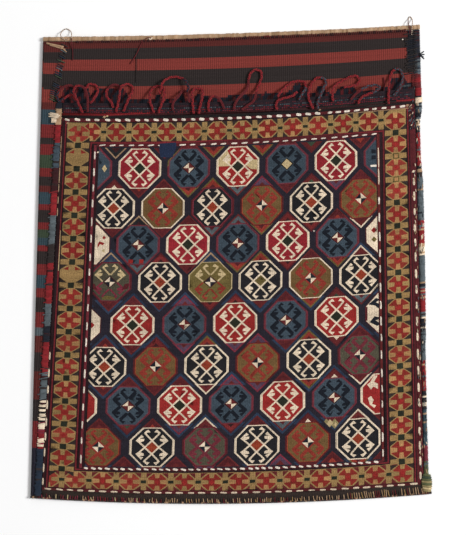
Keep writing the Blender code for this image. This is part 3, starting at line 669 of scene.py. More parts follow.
def make_threads(material):
    outer_edge = HEM_LEVEL + CLEARANCE + HEM_WIDTH
    for name, route in THREADS:
        points = []
        for across_mm, beyond_mm in route:
            across, beyond = across_mm / 1000, beyond_mm / 1000
            points.append(world(across, outer_edge + beyond, thread_height(beyond)))
        path = smooth_route(points, BRAID_STEP / 2)
        for place in path:
            place.z = max(place.z, THREAD_DIAMETER / 2 + CLEARANCE / 2)
        made = Mesh()
        for ply, colours in ((0, ("maroon", "maroon")), (1, ("wool_dark_red", "cream"))):
            own = []
            for i, place in enumerate(path):
                side, top = sideways(path, i)
                phase = 2 * math.pi * (i * BRAID_STEP / 2 / PLY_PITCH + ply / 2)
                outward = side * math.cos(phase) + top * math.sin(phase)
                own.append(place + outward * THREAD_DIAMETER * PLY_OFFSET)
            shades = [tint(colours[int(i > CREAM_FROM * len(own))], 0.15) for i in range(len(own))]
            made.add(*tube(own, THREAD_DIAMETER * PLY_RADIUS, THREAD_SIDES, shades))
        finish_cord(made, f"{name}_thread", name, material)


# Drawing of the face


def is_inside(x, y, corners):
    # Which of many places lie inside an outline.
    inside = np.zeros(len(x), bool)
    x1, y1 = corners[-1]
    for x2, y2 in corners:
        if y1 != y2:
            crosses = ((y1 > y) != (y2 > y)) & (x < (x2 - x1) * (y - y1) / (y2 - y1) + x1)
            inside ^= crosses
        x1, y1 = x2, y2
    return inside


def cut_to(corners, limits):
    # The outline's part inside a rectangle (left, right, bottom, top).
    for axis, limit, side in ((0, limits[0], 1), (0, limits[1], -1), (1, limits[2], 1), (1, limits[3], -1)):
        kept = []
        for i, point in enumerate(corners):
            before = corners[i - 1]
            if (side * before[axis] > side * limit) != (side * point[axis] > side * limit):
                share = (limit - before[axis]) / (point[axis] - before[axis])
                kept.append((mix(before[0], point[0], share), mix(before[1], point[1], share)))
            if side * point[axis] > side * limit:
                kept.append(point)
        corners = kept
        if not corners:
            break
    return corners


def triangulate(points, edges):
    # Triangles between places and edges, worked out in millimetres.
    flat = [Vector((x * 1000, y * 1000)) for x, y in points]
    found, _, faces, sources, _, _ = delaunay_2d_cdt(flat, edges, [], 1, 1e-3, True)
    return np.array([(p.x / 1000, p.y / 1000) for p in found]), [list(face) for face in faces], sources


class Drawing:
    # Coloured outlines on the true rectangle, later ones over earlier ones, and raised lines.

    def __init__(self):
        self.points = []
        self.heights = []
        self.edges = []
        self.fields = []
        self.limits = None

    def add_path(self, path, height=0.0):
        first = len(self.points)
        self.points.extend(path)
        self.heights.extend([height] * len(path))
        self.edges.extend((first + i, first + i + 1) for i in range(len(path) - 1))

    def line(self, path, height):
        # A raised line, unless it reaches past the limits.
        if self.limits:
            left, right, bottom, top = self.limits
            if any(not (left <= x <= right and bottom <= y <= top) for x, y in path):
                return
        self.add_path(path, height)

    def field(self, corners, colour, spread=0.05):
        if self.limits:
            corners = cut_to(corners, self.limits)
        if len(corners) < 3:
            return
        self.add_path([*corners, corners[0]])
        self.fields.append((corners, tint(colour, spread)))

    def stroke(self, start, end, width, colour, height=0.0):
        # A straight stroke of wool with a raised middle.
        (x0, y0), (x1, y1) = start, end
        length = math.hypot(x1 - x0, y1 - y0)
        side_x, side_y = -(y1 - y0) / length * width / 2, (x1 - x0) / length * width / 2
        self.field([(x0 - side_x, y0 - side_y), (x1 - side_x, y1 - side_y), (x1 + side_x, y1 + side_y),
                    (x0 + side_x, y0 + side_y)], colour, 0.03)
        if height:
            inset = min(0.3, width / 2 / length)
            self.line([(mix(x0, x1, inset), mix(y0, y1, inset)),
                       (mix(x1, x0, inset), mix(y1, y0, inset))], height)

    def triangles(self):
        places, faces, sources = triangulate(self.points, self.edges)
        heights = np.array([max((self.heights[i] for i in found), default=0.0) for found in sources])
        middles = places[np.array(faces)].mean(axis=1)
        colours = np.zeros((len(faces), 3))
        for corners, colour in self.fields:
            xs = [x for x, _ in corners]
            ys = [y for _, y in corners]
            near = np.flatnonzero((middles[:, 0] > min(xs)) & (middles[:, 0] < max(xs))
                                  & (middles[:, 1] > min(ys)) & (middles[:, 1] < max(ys)))
            inside = near[is_inside(middles[near, 0], middles[near, 1], corners)]
            colours[inside] = colour
        return places, heights, faces, colours


def rectangle(left, right, bottom, top):
    return [(left, bottom), (right, bottom), (right, top), (left, top)]


def octagon(x, y, half_width, half_height, half_top, half_side):
    a, b, c, d = half_top, half_width, half_side, half_height
    return [(x + a, y + d), (x + b, y + c), (x + b, y - c), (x + a, y - d),
            (x - a, y - d), (x - b, y - c), (x - b, y + c), (x - a, y + d)]


# The octagons, in wraps from their middle, and their rows: level, shift to the right, slope, and
# how much further to the right the row's middle lies
OCTAGON = (21.9, 20.0, 9.2, 7.2)
ROWS = (
    (0.4418, 0.0008, 0.0, 0.0), (0.3892, 0.0006, 0.0, 0.0), (0.3405, 0.0022, -0.004, 0.0),
    (0.2904, -0.0002, -0.011, 0.0), (0.2357, 0.0002, 0.004, 0.0), (0.1817, -0.0028, 0.011, 0.0),
    (0.1291, -0.0033, 0.008, 0.0), (0.0735, -0.0062, 0.006, 0.0034),
)

# How much further to the right single octagons lie, by row and column
OWN_SHIFTS = {(4, 0): -0.0054, (4, 1): -0.0016, (6, 0): -0.0024, (6, 6): -0.0034}

# Each row's octagons, as letters of KINDS
ROW_KINDS = ("BXBRKXB", "VMUNVN", "CBXBXBC", "GVOWMV", "CRBRBRC", "VNVNVD", "RBRBRBR", "NVDVNV")

# The triangles under and over each octagon's flat ends, by row: a letter for each octagon
TRIANGLES_OVER = ("mmmmmmm", "cmopgm", "mhmbrdm", "srsomw",
                  "mmprmgm", "dropom", "mmmpmcm", "mdwmcw")
TRIANGLES_UNDER = ("mdobmpm", "mmborw", "mbmorom", "mtrtob",
                   "mmppmcm", "dmwpow", "mgprbmm", "rmprmo")
COLUMN_PITCH = 0.0664

# Ground, star, outline, its width in wraps, inner line, and the eye's four quarters with its halo
KINDS = {
    "R": ("red", "cream", "cream", 2.2, None, ("moss",) * 4, None),
    "X": ("crimson", "cream", "cream", 2.2, None, ("moss",) * 4, None),
    "B": ("blue", "blue_ink", "wine", 1.9, "mauve_grey", ("cream", "dark_red") * 2, "dark_maroon"),
    "K": ("blue", "blue_ink", "wine", 1.9, "mauve_grey", ("tan",) * 4, "black"),
    "N": ("brown", "rust_red", "maroon", 1.7, "rust", ("ink", "cream") * 2, None),
    "M": ("brown", "rust_red", "cream", 1.7, None, ("cream", "ink") * 2, None),
    "W": ("night", "cream", "cream", 2.2, None, ("olive",) * 4, None),
    "V": ("night", "cream", "cream", 2.2, None, ("rust",) * 4, None),
    "U": ("night", "cream", "maroon", 1.7, "plum", ("rust",) * 4, None),
    "G": ("grey_green", "tan", "maroon", 1.8, "plum", ("cream", "ink") * 2, "dark_maroon"),
    "O": ("olive", "tan", "tan", 1.2, None, ("ink", "cream") * 2, "dark_maroon"),
    "D": ("grey_green", "wine", "maroon", 1.8, "plum", ("cream", "ink") * 2, None),
    "C": ("cream", "red", "maroon", 0.9, None, ("red",) * 4, None),
}

# A star's arms as start and end, its hooks, and its middle diamond, in wraps
UPPER_ARM = ((0.5, 7.2), (7.2, 14.2))
UPPER_HEAD = ((8.3, 14.5), (4.2, 18.1), (1.8, 15.3), (4.9, 14.9), (5.8, 13.9))
SIDE_ARM = ((7.2, 0.5), (14.5, 6.9))
SIDE_HEAD = ((15.9, 6.6), (10.2, 12.8), (8.0, 10.4), (12.0, 8.8), (7.4, 8.6), (7.8, 6.4), (12.6, 4.4))
ARM_WIDTH = 1.6
BROAD_ARM_WIDTH = 3.4
DIAMOND_OUTER = ((0.0, 8.0), (8.0, 0.0), (0.0, -8.0), (-8.0, 0.0))
DIAMOND_INNER = ((0.0, 5.6), (5.9, 0.0), (0.0, -5.6), (-5.9, 0.0))
RAISED = 0.0005


def inset(shape, side, top, slant):
    # An octagon's half sizes after its sides, flat ends and slants are moved in.
    b, d, a, c = shape
    length = math.hypot(b - a, d - c)
    nx, ny = (d - c) / length, (b - a) / length
    reach = nx * a + ny * d - slant
    return b - side, d - top, (reach - ny * (d - top)) / nx, (reach - nx * (b - side)) / ny


def draw_star(drawing, place, kind, half=None):
    # Four pairs of hooked arms round a diamond. half, if given, holds the colours of the upper and of the
    # lower pairs.
    _, star, _, _, _, eye, halo = KINDS[kind]
    width = ARM_WIDTH if star in ("cream", "tan") else BROAD_ARM_WIDTH
    for right in (-1, 1):
        for upper in (-1, 1):
            colour = star if half is None else half[0 if upper > 0 else 1]
            for (u0, v0), (u1, v1) in (UPPER_ARM, SIDE_ARM):
                drawing.stroke(place(right * u0, upper * v0), place(right * u1, upper * v1), width * WRAP,
                               colour, RAISED)
            for head in (UPPER_HEAD, SIDE_HEAD):
                drawing.field([place(right * u, upper * v) for u, v in head], colour)
    if halo:
        drawing.field([place(0.9 * u, 0.76 * v) for u, v in DIAMOND_OUTER], halo)
        scale = 0.92
    else:
        drawing.field([place(u, v) for u, v in DIAMOND_OUTER], star)
        scale = 1.0
    for quarter, colour in enumerate(eye):
        a = DIAMOND_INNER[(quarter + 3) % 4]
        b = DIAMOND_INNER[quarter]
        corners = [(0, 0), (scale * a[0], scale * a[1]), (scale * b[0], scale * b[1])]
        drawing.field([place(u, v) for u, v in corners], colour)


# The two colours of the stars whose upper and lower halves differ
HALF_STARS = {"G": ("tan", "plum"), "O": ("tan", "rust_red")}

# Patches of other wool in single octagons, by row and column: places from the octagon's middle
PATCHES = {
    (0, 0): (("tan", ((14.2, 3.8), (16.8, 0), (14.2, -3.8), (11.6, 0))),),
    (0, 2): (("olive", ((-21.9, 2.0), (-21.9, 7.4), (-9.2, 20.0), (-10.8, 17.6), (-20.4, 7.2),
                        (-20.8, 2.0))),),
    (0, 6): (("ink", ((-14.0, 8.0), (-9.5, 8.0), (-9.5, 4.0), (-14.0, 4.0))),
             ("ink", ((-14.0, 2.0), (-9.5, 2.0), (-9.5, -2.0), (-14.0, -2.0))),
             ("white", ((-15.0, -7.4), (-9.0, -7.4), (-9.0, -9.4), (-15.0, -9.4)))),
    (2, 0): (("red", ((15.2, 9.0), (17.6, 7.6), (16.0, 5.0), (14.0, 6.4))),
             ("red", ((11.0, 3.4), (16.4, 1.6), (15.0, -0.6), (12.0, 0.4), (9.6, -3.6), (9.4, 0.0))),
             ("tan", ((13.6, -6.0), (16.4, -3.6), (17.0, -8.0)))),
    (2, 1): (("red", ((-9.0, -14.6), (-4.6, -14.6), (-4.6, -18.6), (-9.0, -18.6))),
             ("red", ((1.6, -14.6), (6.0, -14.6), (6.0, -18.6), (1.6, -18.6)))),
    (2, 6): (("red", ((-13.5, 7.6), (-10.6, 4.6), (-13.5, 1.6), (-16.4, 4.6))),
             ("olive", ((-13.5, -1.6), (-10.6, -4.6), (-13.5, -7.6), (-16.4, -4.6)))),
    (4, 0): (("red", ((13.0, 3.0), (15.6, 0), (13.0, -3.0), (10.4, 0))),),
    (3, 0): (("maroon", ((-20.0, -1.0), (-15.0, -2.0), (-12.0, -8.0), (-18.0, -7.0))),
             ("maroon", ((20.0, -1.0), (15.0, -2.0), (12.0, -8.0), (18.0, -7.0))),
             ("olive", ((-7.0, -15.2), (-2.0, -13.8), (5.0, -15.0), (6.6, -17.4), (-7.0, -17.8)))),
    (4, 6): (("maroon", ((-21.0, 7.2), (-21.0, -7.2), (-19.6, -6.6), (-19.6, 6.6))),
             ("ink", ((-18.5, 9.0), (-11.0, 15.0), (-7.0, 13.0), (-11.0, 10.6), (-6.0, 8.0), (-9.0, 4.4),
                      (-12.0, 7.4))),
             ("ink", ((-17.5, -8.6), (-10.0, -13.0), (-6.0, -11.0), (-11.6, -7.6), (-7.0, -5.0),
                      (-12.6, -3.0)))),
    (6, 6): (("cream", ((-15.7, 9.9), (-11.8, 4.7), (-9.3, 7.4), (-5.1, 4.7), (-5.1, 9.9), (-8.8, 12.1),
                        (-5.1, 17.9), (-8.6, 18.4), (-12.5, 12.1))),
             ("cream", ((-15.1, -3.4), (-11.8, -1.9), (-9.3, -5.6), (-11.0, -9.6), (-7.0, -11.5),
                        (-8.8, -13.7), (-13.2, -10.0)))),
}

# Patches that lie under the star
UNDER_STAR = {
    (0, 3): (("tan", ((-20.0, 7.5), (-11.0, 16.5), (-7.0, 9.0), (-8.5, 0.5), (-20.0, 0.5))),
             ("tan", ((20.2, 6.0), (13.0, 6.5), (8.5, 0.5), (14.0, -3.0), (20.2, -4.0)))),
}


def draw_octagon(drawing, x, y, row, column):
    kind = ROW_KINDS[row][column]
    ground, _, outline, width, line, _, _ = KINDS[kind]

    def place(u, v):
        return x + u * WRAP, y + v * WRAP

    def ring(shape):
        b, d, a, c = (s * WRAP for s in shape)
        return octagon(x, y, b, d, a, c)

    flat_width = 0.45 * width
    slant_width = 0.72 * width
    drawing.field(ring(OCTAGON), outline)
    ridge = ring(inset(OCTAGON, width / 2, flat_width / 2, slant_width / 2))
    drawing.line([*ridge, ridge[0]], RAISED)
    inner = inset(OCTAGON, width, flat_width, slant_width)
    if line:
        drawing.field(ring(inner), line)
        inner = inset(inner, 0.8, 0.5, 0.8)
    drawing.field(ring(inner), ground, 0.1)
    draw_patches(drawing, place, UNDER_STAR.get((row, column), ()))
    if abs(x) < 2.7 * COLUMN_PITCH:
        draw_star(drawing, place, kind, HALF_STARS.get(kind))
    draw_patches(drawing, place, PATCHES.get((row, column), ()))


def draw_patches(drawing, place, patches):
    for colour, corners in patches:
        drawing.field([place(u, v) for u, v in corners], colour)


# The triangles that hang from the field's top edge, and that stand on its bottom edge
TOP_TRIANGLES = "hmoogd"
BOTTOM_TRIANGLES = "mmmpdm"
HALF_PITCH = 0.0515
BOTTOM_TRIANGLE_SHIFT = 0.027
FIELD_MARGIN = 0.0012

# From this row down, some triangles have a rim of bluer wool
BLUER_FROM = 3
BLUER_SHARE = 0.6

# Spots of other wool in the field: place, size and colour
FIELD_SPOTS = ((0.13, 0.0962, 0.0068, "olive_tan"), (0.1235, 0.0972, 0.0054, "tan"),
               (0.119, 0.1, 0.0034, "olive_tan"), (0.131, 0.095, 0.003, "tan"),
               (0.1039, 0.3511, 0.0014, "white"))


def draw_field(drawing):
    side = HALF_FACE - SIDE_BAND - SIDE_BORDER - LINE_WIDTH - FIELD_MARGIN
    bottom = BOTTOM_BAND + BOTTOM_BORDER + LINE_WIDTH
    top = FACE_HEIGHT - TOP_BAND - TOP_BORDER - LINE_WIDTH
    drawing.field(rectangle(-side, side, bottom, top), "channel")
    drawing.limits = (-side, side, bottom, top)
    for kinds, level, way, shift in ((TOP_TRIANGLES, ROWS[0][0] + HALF_PITCH, -1, ROWS[0][1]),
                                     (BOTTOM_TRIANGLES, ROWS[7][0] - HALF_PITCH, 1, BOTTOM_TRIANGLE_SHIFT)):
        for column, kind in enumerate(kinds):
            draw_triangle(drawing, (column - 2.5) * COLUMN_PITCH + shift, level, way, kind)
    for row, column, x, y in octagon_places():
        for way, kinds in ((1, TRIANGLES_OVER), (-1, TRIANGLES_UNDER)):
            bluer = row >= BLUER_FROM and chance.random() < BLUER_SHARE
            draw_triangle(drawing, x, y, way, kinds[row][column], bluer)
    for row, column, x, y in octagon_places():
        draw_octagon(drawing, x, y, row, column)
    for x, y, size, colour in FIELD_SPOTS:
        drawing.field([(x, y + size), (x + 0.8 * size, y), (x, y - size), (x - 0.9 * size, y)], colour)
    drawing.limits = None


def octagon_places():
    places = []
    for row, (level, shift, slope, bulge) in enumerate(ROWS):
        count = len(ROW_KINDS[row])
        for column in range(count):
            place = (column - (count - 1) / 2) * COLUMN_PITCH
            x = place + shift + bulge * (1 - (2 * place / (count - 1) / COLUMN_PITCH) ** 2)
            x += OWN_SHIFTS.get((row, column), 0.0)
            places.append((row, column, x, level + slope * x))
    return places


# Edge, ground and middle of each kind of triangle
TRIANGLES = {
    "m": ("dark_red", "maroon", "dark_red"), "r": ("maroon", "flap_red", "dark_maroon"),
    "w": ("cream", "dark_red", "maroon"), "h": ("hem", "night", "dark_maroon"),
    "s": ("hem", "slate", "blue"), "t": ("slate", "dark_red", "maroon"),
    "b": ("dark_red", "grey_teal", "maroon"), "o": ("olive", "rust_red", "maroon"),
    "p": ("plum", "mauve", "dark_red"), "c": ("maroon", "dark_red", "cream"),
    "d": ("dark_red", "maroon", "rust_red"), "g": ("maroon", "dark_red", "green"),
}
TRIANGLE_BASE = 18.5
TRIANGLE_SIZES = ((11.4, 11.2), (9.4, 9.2), (4.4, 4.8))
TRIANGLE_RIM = (14.4, 14.2)


def draw_triangle(drawing, x, y, way, kind, rim=False):
    low = y + way * TRIANGLE_BASE * WRAP

    def triangle(half, height):
        return [(x - half * WRAP, low), (x + half * WRAP, low), (x, low + way * height * WRAP)]

    if rim:
        drawing.field(triangle(*TRIANGLE_RIM), "slate", 0.25)
    for size, colour in zip(TRIANGLE_SIZES, TRIANGLES[kind]):
        drawing.field(triangle(*size), colour, 0.12)


# Border


def border_place(x, y, along_x):
    # Places in the border, from wraps along it and across it.
    def place(a, b):
        if along_x:
            return x + a * WRAP, y + b * WRAP
        return x - b * WRAP, y + a * WRAP
    return place


def corners_of(place, outline):
    return [place(a, b) for a, b in outline]


ROSETTE_OUTLINE = ((0.42, 1), (1, 0.42), (1, -0.42), (0.42, -1), (-0.42, -1), (-1, -0.42), (-1, 0.42),
                   (-0.42, 1))


def draw_rosette(drawing, place, half, depth, faded=False):
    # A red octagon with a gold outline, four petals and a red cross.
    def ring(size_a, size_b):
        return [place(a * size_a, b * size_b) for a, b in ROSETTE_OUTLINE]

    red = "gold" if faded else chance.choice(("border_red", "border_red", "border_red", "orange"))
    petal = chance.choice(("pale_gold", "gold", "pale_gold"))
    drawing.field(ring(half, depth), "gold")
    drawing.field(ring(half - 1.0, depth - 0.9), red, 0.14)
    if faded:
        for b in (-1, 1):
            left_over = ((half - 1.4, b * 3.2), (3.4, b * 3.6), (4.2, b * 9.0))
            drawing.field(corners_of(place, left_over), "border_red")
        return
    for a in (1, -1):
        end = a * (half - 0.3)
        outline = ((end, -2.5), (end, 2.5), (a * 3.0, 1.8), (a * 3.0, -1.8))
        drawing.field(corners_of(place, outline), petal, 0.2)
        end = a * (depth - 0.3)
        outline = ((-2.6, end), (2.6, end), (1.9, a * 4.0), (-1.9, a * 4.0))
        drawing.field(corners_of(place, outline), petal, 0.2)
    drawing.field(corners_of(place, ((-2.4, 0), (0, -3.0), (2.4, 0), (0, 3.0))), "red", 0.1)


def draw_stud(drawing, place, depth, reach, square, hollow=False, corner="brown_black"):
    # A gold bar with a dark square at its middle and dark corners round it.
    for a in (1, -1):
        for b in (1, -1):
            wedge = ((a * 2.7, b * depth), (a * 2.7, b * 3.9), (a * reach, b * depth))
            drawing.field(corners_of(place, wedge), corner, 0.15)
    drawing.field(corners_of(place, rectangle(-square[0], square[0], -square[1], square[1])),
                  "olive" if hollow else "moss", 0.2)
    if hollow:
        drawing.field(corners_of(place, rectangle(-1.6, 1.6, -1.8, 1.8)), "pale_gold")


# The border's gold bands: the sides' two as places across, and the other two as levels
LEFT_GOLD = (-0.2332, -0.2018)
RIGHT_GOLD = (0.2003, 0.2298)
TOP_GOLD = (0.4775, 0.502)
BOTTOM_GOLD = (0.0142, 0.0385)
DARK_LINE = 0.0012
RED_LINE = 0.0032
RIGHT_MAROON = 0.2345

# The studs: where each row starts, and their pitch
SIDE_STUDS_FROM = 0.4718
TOP_STUDS_FROM = -0.183
BOTTOM_STUDS_FROM = -0.2168
STUD_PITCH = 0.0308
TOP_STUD_PITCH = 0.0344
BOTTOM_STUD_PITCH = 0.0346

# The left side's faded rosettes and the right side's hollow studs, by number from the top
FADED_ROSETTES = (1, 6)
HOLLOW_STUDS = (1, 2)


def draw_frame(drawing, by, colour):
    # The border's outer outline, moved out as far as by says.
    drawing.field(rectangle(LEFT_GOLD[0] - by, RIGHT_GOLD[1] + by, BOTTOM_GOLD[0] - by, TOP_GOLD[1] + by),
                  colour)


def draw_side(drawing, place_at, rosettes, studs, rosette, stud, faded=(), hollow=(), corner="brown_black"):
    # One side of the border: its rosettes, and then the studs between them.
    for i in range(rosettes):
        draw_rosette(drawing, place_at(i - 0.5), *rosette, i in faded)
    for i in range(studs):
        draw_stud(drawing, place_at(i), *stud, i in hollow, corner)


def draw_border(drawing):
    drawing.field(rectangle(-HALF_FACE, HALF_FACE, BOTTOM_BAND, FACE_HEIGHT - TOP_BAND), "line_black")
    drawing.field(rectangle(RIGHT_MAROON, HALF_FACE, BOTTOM_BAND, FACE_HEIGHT - TOP_BAND), "maroon")
    draw_frame(drawing, RED_LINE, "line_red")
    draw_frame(drawing, DARK_LINE, "line_black")
    draw_frame(drawing, 0.0, "gold")
    drawing.limits = (LEFT_GOLD[0], RIGHT_GOLD[1], BOTTOM_GOLD[0], TOP_GOLD[1])
    top = (TOP_GOLD[0] + TOP_GOLD[1]) / 2
    low = (BOTTOM_GOLD[0] + BOTTOM_GOLD[1]) / 2 - 0.0005

    def top_place(i):
        return border_place(TOP_STUDS_FROM + TOP_STUD_PITCH * i, top, True)

    def bottom_place(i):
        return border_place(BOTTOM_STUDS_FROM + BOTTOM_STUD_PITCH * i, low, True)

    draw_side(drawing, top_place, 12, 12, (9.9, 9.2), (9.3, 8.6, (2.6, 1.4)))
    draw_side(drawing, bottom_place, 14, 13, (9.9, 9.0), (9.2, 8.6, (2.6, 1.6)), corner="dark_red")
    for gold, faded, hollow in ((LEFT_GOLD, FADED_ROSETTES, ()), (RIGHT_GOLD, (), HOLLOW_STUDS)):
        middle = (gold[0] + gold[1]) / 2
        depth = (gold[1] - gold[0]) / 2 / WRAP

        def side_place(i, middle=middle):
            return border_place(middle, SIDE_STUDS_FROM - STUD_PITCH * i, False)

        draw_side(drawing, side_place, 15, 15, (8.8, depth - 0.3), (depth, 7.8, (2.8, 3.1)), faded, hollow)
    drawing.limits = None
    for by, colour in ((0.0, "line_black"), (DARK_LINE, "line_red"), (RED_LINE, "line_black")):
        drawing.field(rectangle(LEFT_GOLD[1] + by, RIGHT_GOLD[0] - by, BOTTOM_GOLD[1] + by, TOP_GOLD[0] - by),
                      colour)


# A dash's outline: the share of its length, and of its width to the side
DASH_OUTLINE = ((0, -0.35), (0.2, -0.5), (0.8, -0.5), (1, -0.2), (1, 0.35), (0.8, 0.5), (0.2, 0.5), (0, 0.2))


def draw_dashes(drawing, start, end, length, gap, width, colour, band, tilt=0.0):
    # A line of wool in two colours: dashes on a darker band. tilt turns each dash a little.
    (x0, y0), (x1, y1) = start, end
    whole = math.hypot(x1 - x0, y1 - y0)
    ux, uy = (x1 - x0) / whole, (y1 - y0) / whole
    nx, ny = -uy, ux
    drawing.stroke(start, end, LINE_WIDTH, band)
    done = gap / 2
    while done + length < whole:
        own = length * chance.uniform(0.82, 1.12)
        thick = width * chance.uniform(0.85, 1.1)
        ax, ay = x0 + ux * done, y0 + uy * done
        bx, by = ax + ux * own, ay + uy * own
        rise = own * tilt / 2
        ax, ay, bx, by = ax - nx * rise, ay - ny * rise, bx + nx * rise, by + ny * rise
        corners = []
        for share, side in DASH_OUTLINE:
            corners.append((mix(ax, bx, share) + nx * side * thick, mix(ay, by, share) + ny * side * thick))
        drawing.field(corners, colour, 0.1)
        drawing.line([(mix(ax, bx, s), mix(ay, by, s)) for s in (0.2, 0.5, 0.8)], 2 * RAISED)
        done += own + gap * chance.uniform(0.8, 1.2)


# How much further out the field's left line lies, and the pale line beside the left border
LEFT_SHIFT = 0.0026
PALE_LINE = -0.2352


def draw_lines(drawing):
    # The sizes of each line of dashes are their length, the gap between them and their width.
    left = -HALF_FACE + LINE_WIDTH / 2
    right = HALF_FACE - SIDE_BAND - LINE_WIDTH / 2
    low = BOTTOM_BAND + LINE_WIDTH / 2
    high = FACE_HEIGHT - TOP_BAND - LINE_WIDTH / 2
    draw_dashes(drawing, (left, low), (left, 0.207), 0.0105, 0.0105, 0.0022, "cream", "dark_maroon")
    drawing.stroke((left, 0.207), (left, 0.375), LINE_WIDTH, "line_black")
    draw_dashes(drawing, (left, 0.375), (left, 0.42), 0.01, 0.006, 0.0012, "hem_pale", "line_black")
    drawing.stroke((PALE_LINE, 0.306), (PALE_LINE, 0.359), 0.0012, "tan")
    draw_dashes(drawing, (left, 0.421), (left, high), 0.023, 0.0012, 0.0013, "hem_pale", "dark_maroon")
    draw_dashes(drawing, (right, low), (right, 0.425), 0.011, 0.0095, 0.003, "cream", "maroon")
    draw_dashes(drawing, (left, high), (0.12, high), 0.0073, 0.0063, 0.0031, "white", "maroon", -0.16)
    draw_dashes(drawing, (0.12, high), (right, high), 0.0073, 0.0054, 0.0027, "white", "maroon")
    drawing.stroke((0.145, high - 0.0031), (right, high - 0.0031), 0.0011, "hem")
    draw_dashes(drawing, (left, low), (right, low), 0.0086, 0.0058, 0.0023, "cream", "maroon", -0.06)
    side = HALF_FACE - SIDE_BAND - SIDE_BORDER - LINE_WIDTH / 2
    drawing.field(rectangle(-side - LEFT_SHIFT, -side + LEFT_SHIFT, BOTTOM_BAND + BOTTOM_BORDER,
                            FACE_HEIGHT - TOP_BAND - TOP_BORDER), "line_black")
    bottom = BOTTOM_BAND + BOTTOM_BORDER + LINE_WIDTH / 2
    top = FACE_HEIGHT - TOP_BAND - TOP_BORDER - LINE_WIDTH / 2
    draw_dashes(drawing, (-side - LEFT_SHIFT, bottom), (-side - LEFT_SHIFT, top), 0.011, 0.0125, 0.0021,
                "white", "plum_red")
    draw_dashes(drawing, (side, bottom), (side, 0.405), 0.011, 0.012, 0.002, "white", "dark_red")
    draw_dashes(drawing, (side, 0.405), (side, top), 0.024, 0.0012, 0.0017, "cream", "dark_red")
    draw_dashes(drawing, (-side, top), (side, top), 0.0078, 0.006, 0.0018, "white", "maroon", 0.05)
    draw_dashes(drawing, (-side, bottom), (side, bottom), 0.006, 0.0036, 0.0026, "white", "maroon", -0.25)


def draw_top_band(drawing):
    # The narrow band next to the mouth: a dark strip, a red line and two dotted lines.
    low = FACE_HEIGHT - TOP_BAND
    drawing.field(rectangle(-HALF_FACE, HALF_FACE, low, FACE_HEIGHT), "top_band")
    drawing.field(rectangle(-HALF_FACE, HALF_FACE, low, low + 0.003), "black")
    drawing.field(rectangle(-HALF_FACE, HALF_FACE, low + 0.003, low + 0.0042), "dark_maroon")
    drawing.field(rectangle(-HALF_FACE, HALF_FACE, low + 0.0042, low + 0.0068), "wool_red")
    for rise, colours in ((0.008, ("wool_red", "plum")), (0.0104, ("wool_red", "maroon")),
                          (0.0128, ("grey_teal", "teal")), (0.0156, ("maroon", "dark_maroon"))):
        level = low + rise
        x = -HALF_FACE + 0.003
        while x < HALF_FACE - 0.004:
            if chance.random() < 0.82:
                drawing.field(rectangle(x, x + 0.0018, level, level + 0.0011), chance.choice(colours), 0.2)
            x += 0.0028


# Frayed spots, small ones, on the border and the lines
SPECKS = (
    (-0.183, 0.5095, 0.0026, "hem"), (-0.179, 0.5108, 0.0018, "tan"),
    (0.112, 0.51, 0.0018, "hem"), (0.232, 0.506, 0.0026, "hem"),
    (0.2352, 0.499, 0.0022, "grey_teal"), (0.2362, 0.493, 0.0024, "hem"),
    (0.2355, 0.486, 0.0024, "grey_teal"), (0.2368, 0.48, 0.002, "cream"),
    (0.2388, 0.418, 0.0026, "cream"), (0.2378, 0.385, 0.0022, "hem"),
    (0.2385, 0.342, 0.002, "cream"), (-0.233, 0.501, 0.0024, "hem"),
    (-0.1895, 0.463, 0.0018, "cream"), (-0.185, 0.07, 0.0018, "plum"),
)

# A darn near the top left of the field, and its outline
DARN = ((-0.1062, 0.4748), (-0.0836, 0.4756), (-0.083, 0.47), (-0.0866, 0.46), (-0.088, 0.456),
        (-0.104, 0.4562), (-0.1066, 0.464))

# The face's mesh: points on the upper side, and columns and rows on the under side
GRID_STEP = 0.0055
UNDER_COLUMNS = 24
UNDER_ROWS = 26

# How far its lines wander sideways and up, how high its waves are, and how near its edges all of
# that dies out
WANDER_ACROSS = 0.0005
WANDER_UP = 0.0004
WAVE_HEIGHT = 0.00035
CALM_AT_EDGE = 0.012


def draw_face():
    drawing = Drawing()
    drawing.field(rectangle(-HALF_FACE, HALF_FACE, 0.0, FACE_HEIGHT), "brown_black")
    draw_top_band(drawing)
    draw_border(drawing)
    draw_field(drawing)
    draw_lines(drawing)
    drawing.field(DARN, "indigo")
    for x, y, size, colour in SPECKS:
        drawing.field([(x - size, y - 0.3 * size), (x + 0.2 * size, y - 0.6 * size),
                       (x + size, y + 0.4 * size), (x - 0.3 * size, y + 0.7 * size)], colour)
    count_x = round(FACE_WIDTH / GRID_STEP)
    count_y = round(FACE_HEIGHT / GRID_STEP)
    for i in range(count_x + 1):
        for j in range(count_y + 1):
            x = mix(-HALF_FACE, HALF_FACE, i / count_x)
            y = mix(0.0, FACE_HEIGHT, j / count_y)
            drawing.points.append((x, y))
            drawing.heights.append(0.0)
    for i in range(count_x):
        for y in (0.0, FACE_HEIGHT):
            drawing.add_path([(mix(-HALF_FACE, HALF_FACE, (i + k) / count_x), y) for k in (0, 1)])
    for j in range(count_y):
        for x in (-HALF_FACE, HALF_FACE):
            drawing.add_path([(x, mix(0.0, FACE_HEIGHT, (j + k) / count_y)) for k in (0, 1)])
    return drawing


def rim_of(faces):
    edges = set()
    for face in faces:
        for a, b in zip(face, face[1:] + face[:1]):
            edges.add((a, b))
    return [(a, b) for a, b in edges if (b, a) not in edges]


